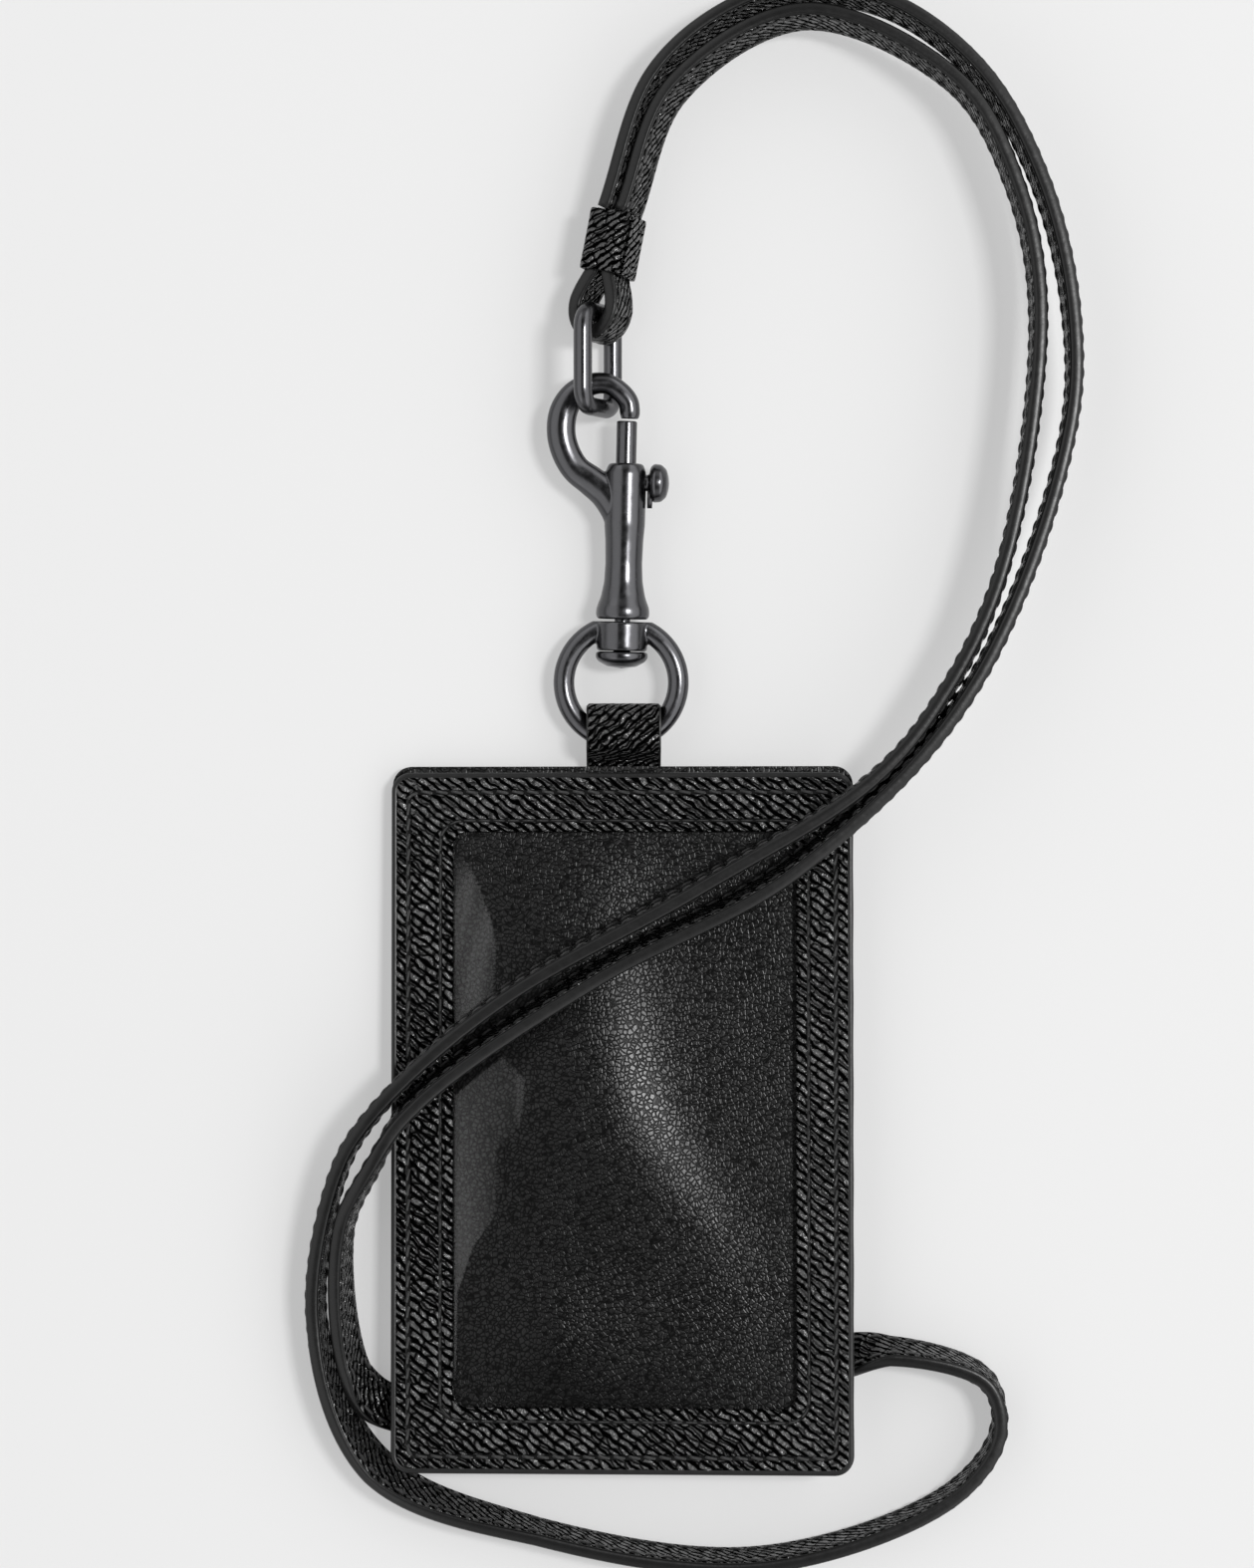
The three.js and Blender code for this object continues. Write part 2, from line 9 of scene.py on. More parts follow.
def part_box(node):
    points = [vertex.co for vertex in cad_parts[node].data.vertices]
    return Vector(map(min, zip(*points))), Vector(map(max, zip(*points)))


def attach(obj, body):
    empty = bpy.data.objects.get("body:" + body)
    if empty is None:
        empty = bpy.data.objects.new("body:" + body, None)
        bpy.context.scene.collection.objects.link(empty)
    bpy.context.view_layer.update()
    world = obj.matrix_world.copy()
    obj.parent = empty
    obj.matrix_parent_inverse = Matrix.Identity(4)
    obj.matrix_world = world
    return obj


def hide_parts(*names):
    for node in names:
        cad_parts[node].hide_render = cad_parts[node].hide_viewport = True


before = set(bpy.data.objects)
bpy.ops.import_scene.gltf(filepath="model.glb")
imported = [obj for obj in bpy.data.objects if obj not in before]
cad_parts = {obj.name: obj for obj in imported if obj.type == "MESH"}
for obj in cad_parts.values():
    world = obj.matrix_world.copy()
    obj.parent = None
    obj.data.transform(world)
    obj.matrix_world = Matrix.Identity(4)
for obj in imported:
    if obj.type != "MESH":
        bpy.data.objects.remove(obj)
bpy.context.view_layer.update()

# ---- Camera ----
# Looks straight down on the flat lay from about two thirds of a metre, with a short telephoto lens.
mm = 0.001
view_height, focus_height = 237.7 * mm, 5 * mm
lens, film_side = 100, 36
camera = bpy.data.objects.new("camera", bpy.data.cameras.new("camera"))
camera.data.lens = lens
camera.data.sensor_width = film_side
camera.data.clip_start, camera.data.clip_end = 0.01, 10
camera.location = (0.6 * mm, 50.9 * mm, view_height * lens / film_side + focus_height)
bpy.context.scene.collection.objects.link(camera)
bpy.context.scene.camera = camera

# ---- Lanyard strap ----
# One long band of two leather strips glued back to back, sewn near both edges and edge painted.
# It lies on edge in one closed loop, over the case and back under it, with both ends in the keeper.
strap_w, strap_t = 7 * mm, 2.1 * mm
strap_seam_in, thread_lift, strap_thread = 1.25 * mm, 0.04 * mm, 0.5 * mm
# The middle of the strap: x, y, z in mm, and the lean of its upper edge to the left of its run.
strap_route = [
    (0.7, 137.3, 5.7, 23), (8.0, 155.8, 7.0, 21), (27.4, 166.7, 8.2, 13), (50.0, 156.6, 9.4, 6),
    (58.6, 142.0, 10.0, 4), (62.4, 122.5, 10.5, 3), (57.2, 84.0, 11.2, -4), (48.2, 64.2, 11.4, -7),
    (37.0, 51.2, 11.5, 0), (10.6, 35.0, 10.6, 5), (-19.2, 18.0, 9.5, 5), (-37.6, 1.2, 8.5, -3),
    (-43.2, -8.4, 6.2, -5), (-46.4, -31.5, 3.8, -8), (-37.3, -52.9, 3.6, -38),
    (-13.0, -62.6, 3.8, -14), (21.0, -66.9, 3.8, -13), (49.6, -57.2, 3.7, -7), (57.0, -47.6, 3.7, 0),
    (55.2, -39.6, 3.8, 8), (40.6, -35.2, 3.7, 20), (28.6, -37.2, 1.4, 84), (0.0, -41.6, 1.2, 90),
    (-35.4, -44.0, 1.4, 84), (-40.6, -38.6, 3.4, 28), (-42.4, -17.0, 5.6, 10), (-37.8, -6.8, 8.8, 6),
    (-31.9, 2.4, 9.4, -9), (-4.8, 21.9, 9.9, -16), (25.0, 38.0, 11.1, -15), (51.5, 64.2, 11.4, -2),
    (66.7, 103.0, 10.9, 1), (67.3, 122.5, 10.5, -3), (62.6, 142.0, 10.0, -4), (53.6, 158.0, 9.4, -7),
    (40.4, 168.0, 8.8, -10), (27.0, 170.4, 8.2, -14), (15.4, 166.6, 7.6, -18), (5.0, 157.2, 7.0, -21),
    (-1.75, 137.75, 5.7, -23),
]


def smooth_route(points, per_span):
    """A smooth curve through all the points, with the same number of steps between each two."""
    p = np.array(points, float)
    p = np.vstack([2 * p[0] - p[1], p, 2 * p[-1] - p[-2]])
    out = []
    for i in range(1, len(p) - 2):
        a, b, c = (np.linalg.norm(p[k + 1][:3] - p[k][:3]) ** 0.5 for k in (i - 1, i, i + 1))
        start = ((p[i] - p[i - 1]) / a - (p[i + 1] - p[i - 1]) / (a + b) + (p[i + 1] - p[i]) / b) * b
        end = ((p[i + 1] - p[i]) / b - (p[i + 2] - p[i]) / (b + c) + (p[i + 2] - p[i + 1]) / c) * b
        last = i == len(p) - 3
        t = np.linspace(0, 1, per_span + 1)[: None if last else -1, None]
        h = t * t * (3 - 2 * t)
        out.append(p[i] * (1 - h) + p[i + 1] * h + start * (t - 2 * t**2 + t**3) + end * (t**3 - t**2))
    return np.vstack(out)


def unit(v):
    return v / np.maximum(np.linalg.norm(v, axis=-1, keepdims=True), 1e-12)


def run_directions(points, closed=False):
    """The direction of the run at each point."""
    if closed:
        return unit(np.roll(points, -1, 0) - np.roll(points, 1, 0))
    return unit(np.gradient(points, axis=0))


def band_frame(points, side):
    """Width and thickness directions of a band whose width points along side."""
    along = run_directions(points)
    side = unit(side - (side * along).sum(1, keepdims=True) * along)
    return side, np.cross(side, along)


def new_piece(name, verts, faces, body, replaces=(), smooth=True, uvs=None, slots=None):
    """A mesh object with its faces, one uv for each vertex, and the body that it rides on."""
    mesh = bpy.data.meshes.new(name)
    mesh.from_pydata([tuple(v) for v in verts], [], [tuple(int(i) for i in f) for f in faces])
    if uvs is not None:
        layer = mesh.uv_layers.new(name="run")
        loops = np.empty(len(mesh.loops), int)
        mesh.loops.foreach_get("vertex_index", loops)
        layer.data.foreach_set("uv", np.asarray(uvs, float)[loops].ravel())
    if slots is not None:
        mesh.polygons.foreach_set("material_index", slots)
    mesh.polygons.foreach_set("use_smooth", [smooth] * len(mesh.polygons))
    mesh.update()
    piece = bpy.data.objects.new(name, mesh)
    bpy.context.scene.collection.objects.link(piece)
    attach(piece, body)
    if replaces:
        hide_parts(*replaces)
    return piece


def lofted(rings, closed_ring=True, closed_run=False, capped=False):
    """Faces joining equal rings of vertices, ring after ring."""
    n, m = len(rings), len(rings[0])
    verts = np.vstack(rings)
    faces = []
    for i in range(n if closed_run else n - 1):
        k = (i + 1) % n
        for j in range(m if closed_ring else m - 1):
            l = (j + 1) % m
            faces.append((i * m + j, i * m + l, k * m + l, k * m + j))
    if capped:
        faces.append(tuple(range(m))[::-1])
        faces.append(tuple((n - 1) * m + j for j in range(m)))
    return verts, faces


def srgb(hex_colour):
    """A hex colour as it looks on a screen, turned to linear light."""
    parts = [int(hex_colour[i : i + 2], 16) / 255 for i in (1, 3, 5)]
    return [c / 12.92 if c <= 0.04045 else ((c + 0.055) / 1.055) ** 2.4 for c in parts] + [1]


def node(tree, kind, settings=None, links=None, **values):
    """One shader node: its properties, its input values and what is linked to its inputs."""
    made = tree.nodes.new(kind)
    for key, value in (settings or {}).items():
        setattr(made, key, value)
    for key, value in values.items():
        key = int(key[1:]) if key[0] == "_" and key[1:].isdigit() else key.replace("_", " ")
        made.inputs[key].default_value = value
    for key, source in (links or {}).items():
        tree.links.new(source, made.inputs[key])
    return made


def new_material(name):
    material = bpy.data.materials.new(name)
    material.use_nodes = True
    material.node_tree.nodes.clear()
    return material, material.node_tree


def surface_out(tree, shader):
    node(tree, "ShaderNodeOutputMaterial", links={"Surface": shader.outputs[0]})


def millimetres(tree):
    """The piece's own flat pattern, in millimetres along and across it."""
    uv = node(tree, "ShaderNodeUVMap", {"uv_map": "run"})
    return node(tree, "ShaderNodeMapping", links={"Vector": uv.outputs[0]}, Scale=(100, 100, 100))


def crossgrain_leather(name, ridge_mm=1.15, angle=-38, depth_mm=0.36, swirl=0.7, sheen_from=None):
    """Calf leather embossed with a crossgrain plate and finished black: slanting ridges broken into
    pebbles. The crowns get a slightly lighter colour and full shine, and the grooves are painted near
    black with no shine: painted shade in the grooves.
    Past the sheen point (x, y in mm) the shine spreads over more of each crown: a painted sheen that
    makes the right and top borders brighter."""
    grooves_end = 0.8
    material, tree = new_material(name)
    flat = millimetres(tree)
    drift = node(tree, "ShaderNodeTexNoise", links={"Vector": flat.outputs[0]}, Scale=0.5, Detail=2.0)
    sway = node(tree, "ShaderNodeVectorMath", {"operation": "MULTIPLY_ADD"},
                {0: drift.outputs["Color"], 2: flat.outputs[0]}, _1=(1.6 * swirl, 1.6 * swirl, 0))
    turned = node(tree, "ShaderNodeMapping", links={"Vector": sway.outputs[0]},
                  Rotation=(0, 0, radians(-angle)))
    ridges = node(tree, "ShaderNodeTexWave", {"bands_direction": "Y"}, {"Vector": turned.outputs[0]},
                  Scale=0.314 / ridge_mm, Distortion=0.9, Detail=2.0, Detail_Scale=1.4)
    stretched = node(tree, "ShaderNodeMapping", links={"Vector": turned.outputs[0]},
                     Scale=(0.5 / ridge_mm, 0.95 / ridge_mm, 1))
    breaks = node(tree, "ShaderNodeTexVoronoi",
                  {"feature": "DISTANCE_TO_EDGE", "voronoi_dimensions": "2D"},
                  {"Vector": stretched.outputs[0]}, Scale=1.0, Randomness=0.75)
    ridge_top = node(tree, "ShaderNodeMapRange", {"interpolation_type": "SMOOTHSTEP"},
                     {"Value": ridges.outputs["Fac"]}, From_Min=0.08, From_Max=0.6, To_Min=0.04)
    break_top = node(tree, "ShaderNodeMapRange", {"interpolation_type": "SMOOTHSTEP"},
                     {"Value": breaks.outputs["Distance"]}, From_Max=0.2, To_Min=0.2)
    grain = node(tree, "ShaderNodeTexNoise", links={"Vector": flat.outputs[0]}, Scale=2.6, Detail=2.0,
                 Roughness=0.5)
    pebble = node(tree, "ShaderNodeMath", {"operation": "MULTIPLY"},
                  {0: ridge_top.outputs[0], 1: break_top.outputs[0]})
    height = node(tree, "ShaderNodeMath", {"operation": "MULTIPLY_ADD"},
                  {0: grain.outputs["Fac"], 2: pebble.outputs[0]}, _1=0.8)
    relief = node(tree, "ShaderNodeBump", links={"Height": height.outputs[0]}, Strength=1.0,
                  Distance=depth_mm * mm)
    # Painted shade: the grooves are near black and the crowns a little lighter.
    painted_shade_tone = node(tree, "ShaderNodeMixRGB", links={"Fac": pebble.outputs[0]},
                Color1=srgb("#010101"), Color2=srgb("#0c0c0c"))
    # Painted shade: no shine in the grooves, full shine on the crowns.
    groove_shade_shine = node(tree, "ShaderNodeMapRange", {"interpolation_type": "SMOOTHSTEP"},
                  {"Value": pebble.outputs[0]}, From_Min=0.15, From_Max=grooves_end)
    # Painted sheen: towards the right and top borders the crowns' shine spreads wider, so those borders
    # look brighter.
    if sheen_from:
        place = node(tree, "ShaderNodeSeparateXYZ", links={"Vector": flat.outputs[0]})
        right, top = (node(tree, "ShaderNodeMapRange", {"interpolation_type": "SMOOTHSTEP"},
                           {"Value": place.outputs[axis]}, From_Min=full - 6, From_Max=full,
                           To_Max=0.4)
                      for axis, full in zip("XY", sheen_from))
        painted_sheen = node(tree, "ShaderNodeMath", {"operation": "MAXIMUM"},
                    {0: right.outputs[0], 1: top.outputs[0]})
        sheen_grooves_end = node(tree, "ShaderNodeMath", {"operation": "SUBTRACT"}, {1: painted_sheen.outputs[0]},
                    _0=grooves_end)
        tree.links.new(sheen_grooves_end.outputs[0], groove_shade_shine.inputs["From Max"])
    shader = node(tree, "ShaderNodeBsdfPrincipled", links={
        "Base Color": painted_shade_tone.outputs[0], "Specular IOR Level": groove_shade_shine.outputs[0],
        "Normal": relief.outputs[0]}, IOR=1.52, Roughness=0.2)
    surface_out(tree, shader)
    return material


def edge_paint(name, colour="#262626"):
    """Acrylic edge paint, brushed on in two coats: satin, a little uneven along its run."""
    material, tree = new_material(name)
    where = node(tree, "ShaderNodeTexCoord")
    waves = node(tree, "ShaderNodeTexNoise", links={"Vector": where.outputs["Object"]},
                 Scale=700.0, Detail=3.0)
    relief = node(tree, "ShaderNodeBump", links={"Height": waves.outputs["Fac"]}, Strength=0.35,
                  Distance=0.12 * mm)
    gloss = node(tree, "ShaderNodeMapRange", links={"Value": waves.outputs["Fac"]},
                 To_Min=0.26, To_Max=0.4)
    shader = node(tree, "ShaderNodeBsdfPrincipled", links={
        "Roughness": gloss.outputs[0], "Normal": relief.outputs[0]}, IOR=1.48, Base_Color=srgb(colour),
        Specular_IOR_Level=0.32)
    surface_out(tree, shader)
    return material


def thread_material(name):
    """Waxed polyester thread, three ply, dyed black to match: the wax gives each stitch a shiny back,
    and its twist just shows."""
    material, tree = new_material(name)
    uv = node(tree, "ShaderNodeUVMap", {"uv_map": "run"})
    twist = node(tree, "ShaderNodeTexWave", {"bands_direction": "DIAGONAL"}, {"Vector": uv.outputs[0]},
                 Scale=40.0, Distortion=0.6)
    relief = node(tree, "ShaderNodeBump", links={"Height": twist.outputs["Fac"]}, Strength=0.7,
                  Distance=0.06 * mm)
    shader = node(tree, "ShaderNodeBsdfPrincipled", links={"Normal": relief.outputs[0]},
                  Base_Color=srgb("#262626"), Roughness=0.36, IOR=1.52)
    surface_out(tree, shader)
    return material


strap_leather = crossgrain_leather("strap_crossgrain_leather", ridge_mm=0.95, depth_mm=0.2)
strap_paint = edge_paint("strap_edge_paint", "#101010")
black_thread = thread_material("waxed_thread")


def band_profile(w, t, seam_in=strap_seam_in, seam_depth=0.1 * mm, bead=0.42 * mm):
    """The strap's section: (across the width, through the thickness) and which runs are painted."""
    a, b = w / 2, t / 2
    face = [a - bead, a - bead - 0.25 * mm, a - seam_in + 0.3 * mm, a - seam_in, a - seam_in - 0.3 * mm,
            0.45 * a, 0]
    dip = [0.04 * mm, 0, 0, seam_depth, 0, -0.02 * mm, -0.02 * mm]
    half = list(zip(face, [b - d for d in dip]))
    face_side = half + [(-x, y) for x, y in half[-2::-1]]
    crown = [(a - 0.28 * mm, b - 0.1 * mm), (a - 0.12 * mm, b - 0.3 * mm), (a - 0.02 * mm, b * 0.45),
             (a, 0), (a - 0.02 * mm, -b * 0.45), (a - 0.12 * mm, -b + 0.3 * mm),
             (a - 0.28 * mm, -b + 0.1 * mm)]
    low_crown = [(-x, -y) for x, y in crown]
    profile = face_side + low_crown + [(-x, -y) for x, y in face_side] + crown
    n, m = len(face_side), len(crown)
    painted = ([0] * (n - 1) + [1] * (m + 1)) * 2
    return np.array(profile), painted


def run_length(points):
    """How far along the run each point is."""
    return np.concatenate([[0], np.cumsum(np.linalg.norm(np.diff(points, axis=0), axis=1))])


def band(name, points, side, w, t, body, replaces, materials):
    """A flat band swept along points, its two faces leather and its two edges painted."""
    profile, painted = band_profile(w, t)
    side, out = band_frame(points, side)
    rings = [p + profile[:, :1] * s + profile[:, 1:] * o for p, s, o in zip(points, side, out)]
    verts, faces = lofted(rings, capped=True)
    uvs = [(r * 10, a * 10) for r in run_length(points) for a in run_length(profile)]
    slots = painted * (len(points) - 1) + [1, 1]
    piece = new_piece(name, verts, faces, body, replaces, uvs=uvs, slots=slots)
    for material in materials:
        piece.data.materials.append(material)
    return piece, side, out


def stitch_row(name, points, side, out, offset, lift, body, pitch=2.6 * mm, length=1.9 * mm,
               thread=strap_thread, slant=0.0, replaces=()):
    """Separate stitches along a run: each rises out of its hole and goes back in at the next."""
    run = run_length(points)
    count = max(1, int(run[-1] / pitch))
    verts, faces, uvs = [], [], []
    for k in range(count):
        middle = (k + 0.5) * run[-1] / count
        centres, outs, sides = [], [], []
        for f in (-0.5, -0.36, -0.12, 0.12, 0.36, 0.5):
            at = min(max(middle + f * length, 0), run[-1])
            p, s, o = (np.array([np.interp(at, run, a[:, c]) for c in range(3)])
                       for a in (points, side, out))
            rise = lift - thread * (1.5 if abs(f) > 0.45 else 0.12 if abs(f) > 0.3 else 0)
            centres.append(p + s * (offset + f * slant * length) + o * rise)
            outs.append(o), sides.append(s)
        c = np.array(centres)
        a, s, o = run_directions(c), np.array(sides), np.array(outs)
        s = unit(s - (s * a).sum(1, keepdims=True) * a)
        o = np.cross(a, s)
        base = len(verts)
        for i in range(len(c)):
            for j in range(6):
                angle = j / 6 * 2 * pi
                verts.append(c[i] + thread / 2 * (cos(angle) * s[i] + sin(angle) * o[i] * 0.8))
                uvs.append((i * 0.08, j / 6 * 0.13))
        for i in range(len(c) - 1):
            for j in range(6):
                l = (j + 1) % 6
                here = base + i * 6
                faces.append((here + j, here + l, here + 6 + l, here + 6 + j))
    piece = new_piece(name, verts, faces, body, replaces, uvs=uvs)
    piece.data.materials.append(black_thread)
    return piece


def leaning_sides(points, leans):
    """The width direction of a strap on edge: upright, tipped to the left of its run by its lean."""
    level = run_directions(points) * (1, 1, 0)
    level = unit(level)
    left = np.stack([-level[:, 1], level[:, 0], 0 * level[:, 0]], 1)
    return np.cos(leans)[:, None] * np.array((0, 0, 1)) + np.sin(leans)[:, None] * left


route = smooth_route(strap_route, 20)
leans = np.radians(np.interp(np.linspace(0, len(strap_route) - 1, len(route)),
                             range(len(strap_route)), [p[3] for p in strap_route]))
strap_line = route[:, :3] * mm
rest_height = strap_w / 2 * np.cos(leans) + strap_t / 2 * np.abs(np.sin(leans)) + 0.2 * mm
strap_line[:, 2] = np.maximum(strap_line[:, 2], rest_height)
strap, strap_side, strap_out = band(
    "lanyard_strap_leather", strap_line, leaning_sides(strap_line, leans), strap_w, strap_t,
    "badge_case", ["lanyard_strap"], [strap_leather, strap_paint])


def strap_seams(name, points, side, out):
    """The four rows that show: one near each edge, on both faces."""
    for label, edge, face in (("a", 1, 1), ("b", 1, -1), ("c", -1, 1), ("d", -1, -1)):
        stitch_row(f"{name}_{label}", points, side, out * face,
                   edge * (strap_w / 2 - strap_seam_in), strap_t / 2 + thread_lift, "badge_case")


strap_seams("strap_stitches", strap_line, strap_side, strap_out)

# ---- Surface and light ----
# A pale opal table, lit a little from below so its shadows stay light, under a tent of white cloth:
# bright sides to the left and right, a dimmer top and bottom, and a dark gap overhead where the
# camera hangs. A lamp on the right throws the soft shadows to the left.
bpy.context.scene.view_settings.view_transform = "Standard"
table_size = 3.0
table = new_piece("table_top", *lofted(
    [[(-table_size, y, 0), (table_size, y, 0)] for y in (-table_size, table_size)], closed_ring=False),
    "badge_case")
opal, tree = new_material("opal_acrylic_lit_from_below")
surface_out(tree, node(tree, "ShaderNodeBsdfPrincipled", Base_Color=srgb("#989898"), Roughness=0.9,
                       Specular_IOR_Level=0.1, Emission_Color=(1, 1, 1, 1), Emission_Strength=0.36))
table.data.materials.append(opal)


def softbox(name, size, towards, distance, watts, aim=(0, 45 * mm, 0)):
    """A flat lamp of the given width and height, aimed at the object."""
    lamp = bpy.data.objects.new(name, bpy.data.lights.new(name, "AREA"))
    lamp.data.shape = "RECTANGLE"
    lamp.data.size, lamp.data.size_y = size
    lamp.data.energy = watts
    away = Vector(towards).normalized()
    lamp.location = Vector(aim) + away * distance
    lamp.rotation_euler = away.to_track_quat("Z", "Y").to_euler()
    bpy.context.scene.collection.objects.link(lamp)


softbox("key_softbox", (0.2, 0.3), (0.46, 0.12, 1.0), 1.5, 15)


def tent_wall(tree, axis, start, full, level):
    """How bright the tent is towards one side: nothing up to start, the whole level from full on."""
    return node(tree, "ShaderNodeMapRange", {"interpolation_type": "SMOOTHSTEP"},
                {"Value": axis}, From_Min=start, From_Max=full, To_Max=level)


world = bpy.data.worlds.new("light_tent")
world.use_nodes = True
bpy.context.scene.world = world
sky = world.node_tree
sky.nodes.clear()
where = node(sky, "ShaderNodeTexCoord")
parts = node(sky, "ShaderNodeSeparateXYZ", links={"Vector": where.outputs["Generated"]})
along_y = node(sky, "ShaderNodeMath", {"operation": "ABSOLUTE"}, {0: parts.outputs["Y"]})
right_wall = tent_wall(sky, parts.outputs["X"], 0.26, 0.42, 1.75)
left_wall = tent_wall(sky, parts.outputs["X"], -0.26, -0.42, 1.25)
ends = tent_wall(sky, along_y.outputs[0], 0.5, 0.8, 0.6)
sides = node(sky, "ShaderNodeMath", {"operation": "ADD"},
             {0: right_wall.outputs[0], 1: left_wall.outputs[0]})
walls = node(sky, "ShaderNodeMath", {"operation": "ADD"}, {0: sides.outputs[0], 1: ends.outputs[0]})
low = node(sky, "ShaderNodeMapRange", {"interpolation_type": "SMOOTHSTEP"},
           {"Value": parts.outputs["Z"]}, From_Min=0.12, From_Max=0.4, To_Min=0.35)
lit = node(sky, "ShaderNodeMath", {"operation": "MULTIPLY_ADD"},
           {0: walls.outputs[0], 1: low.outputs[0]}, _2=0.06)
light = node(sky, "ShaderNodeBackground", links={"Strength": lit.outputs[0]}, Color=(1, 1, 1, 1))
node(sky, "ShaderNodeOutputWorld", links={"Surface": light.outputs[0]})

# ---- Where the case lies ----
# The case lies window side up with its top left corner on the table. The strap beneath it
# lifts its lower end, and its right side most of all.
case_w, case_h, corner_r = 70 * mm, 107 * mm, 2.85 * mm
case_pitch, case_roll = radians(-1.75), radians(-3.0)
case_frame = (Matrix.Translation((-case_w / 2, case_h / 2, 0.06 * mm))
              @ Matrix.Rotation(case_pitch, 4, "X") @ Matrix.Rotation(case_roll, 4, "Y")
              @ Matrix.Translation((case_w / 2, -case_h / 2, 0)))
levels, height = {}, 0.0
for layer, thickness in (("back", 0.7), ("board", 0.5), ("lining", 0.4), ("filler", 0.5),
                         ("film", 0.25), ("front", 0.8)):
    levels[layer] = (height * mm, (height + thickness) * mm)
    height += thickness + 0.05


def on_case(points):
    """Points given in the case's own frame, x across, y up, z out of the window side."""
    m = np.array(case_frame)
    return np.asarray(points, float) @ m[:3, :3].T + m[:3, 3]


def rounded_outline(w, h, r, centre=(0, 0), pitch=0.8 * mm, corner_steps=9, like=None):
    """Points round a rectangle with round corners, anticlockwise from its lower right corner."""
    across = ceil((like or (w, h))[0] / pitch)
    up = ceil((like or (w, h))[1] / pitch)
    points = []
    for k, (sx, sy, n) in enumerate(((1, -1, up), (1, 1, across), (-1, 1, up), (-1, -1, across))):
        c = np.array((sx * (w / 2 - r), sy * (h / 2 - r)))
        turn = (k - 1) * pi / 2
        arc = [c + r * np.array((cos(turn + t), sin(turn + t)))
               for t in np.linspace(0, pi / 2, corner_steps)]
        nx, ny = ((1, 1), (-1, 1), (-1, -1), (1, -1))[k]
        following = np.array((nx * (w / 2 - r), ny * (h / 2 - r)))
        first = following + r * np.array((cos(turn + pi / 2), sin(turn + pi / 2)))
        points += arc + [arc[-1] + (first - arc[-1]) * t for t in np.linspace(0, 1, n + 1)[1:-1]]
    return np.array(points) + np.array(centre)


def at_level(outline, z):
    return np.column_stack([outline, np.full(len(outline), z)])


# ---- Front panel ----
# The window side: crossgrain leather cut out round the window, with a sewn outer seam, a creased
# line round the window, and a rounded bead of edge paint along its outer edge.
front_drop = 1.0 * mm
front_size = (case_w, case_h - front_drop)
front_centre = np.array((0, -front_drop / 2))
window_size, window_r, window_centre = (52 * mm, 87 * mm), 2.2 * mm, np.array((0.4 * mm, 0))
seam_inset, seam_top, seam_corner_r = 2.6 * mm, 3.0 * mm, 1.6 * mm
seam_size = (case_w - 2 * seam_inset, case_h - front_drop - seam_inset - seam_top)
seam_centre = np.array((0, (seam_inset - seam_top - front_drop) / 2))
crease_out, crease_centre = 1.9 * mm, window_centre + np.array((0, -0.2 * mm))
# The case leather has a painted sheen towards its right and top borders.
case_leather = crossgrain_leather("case_crossgrain_leather", sheen_from=(28, 47))
fine_leather = crossgrain_leather("fine_crossgrain_leather", ridge_mm=1.0, depth_mm=0.32, swirl=0.8)
case_paint = edge_paint("case_edge_paint", "#1a1a1a")
front_top = levels["front"][1]


def outline_from_edge(inset, size=front_size, centre=front_centre):
    return rounded_outline(size[0] - 2 * inset, size[1] - 2 * inset, max(corner_r - inset, 0.5 * mm),
                           centre, like=(case_w, case_h))


def outline_from_seam(out):
    return rounded_outline(seam_size[0] + 2 * out, seam_size[1] + 2 * out,
                           max(seam_corner_r + out, 0.5 * mm), seam_centre, like=(case_w, case_h))


def outline_from_window(out, centre=window_centre):
    return rounded_outline(window_size[0] + 2 * out, window_size[1] + 2 * out,
                           max(window_r + out * 0.6, 0.4 * mm), centre, like=(case_w, case_h))


front_rings = [at_level(outline_from_edge(i * mm), front_top + z * mm) for i, z in (
    (0.1, -0.78), (0.0, -0.6), (0.0, -0.36), (0.1, -0.14), (0.3, -0.03), (0.52, -0.02), (0.7, -0.07),
    (0.78, -0.1), (0.86, -0.06), (1.1, -0.01), (1.5, 0.02))]
paint_rings = 7
front_rings += [at_level(outline_from_seam(o * mm), front_top + z * mm) for o, z in (
    (0.7, 0.04), (0.35, -0.06), (0.0, -0.24), (-0.35, -0.06), (-0.75, 0.04), (-1.5, 0.03),
    (-2.6, 0.03))]
front_rings += [at_level(outline_from_window(o * mm, c), front_top + z * mm) for o, z, c in (
    (3.2, 0.02, crease_centre), (2.5, 0.04, crease_centre), (2.15, -0.06, crease_centre),
    (1.9, -0.26, crease_centre), (1.65, -0.06, crease_centre), (1.3, 0.03, crease_centre),
    (0.7, -0.01, window_centre), (0.3, -0.06, window_centre), (0.08, -0.2, window_centre),
    (0.0, -0.4, window_centre), (0.05, -0.78, window_centre))]
verts, faces = lofted(front_rings, closed_run=True)
ring_size = len(front_rings[0])
pressed_shade_rings = (12, 13, 20, 21)


def front_slot(ring):
    """Paint on the edges, pressed leather with painted shade in the seam channel and the crease,
    crossgrain elsewhere.
    """
    if ring < paint_rings or ring >= len(front_rings) - 2:
        return 1
    return 2 if ring in pressed_shade_rings else 0


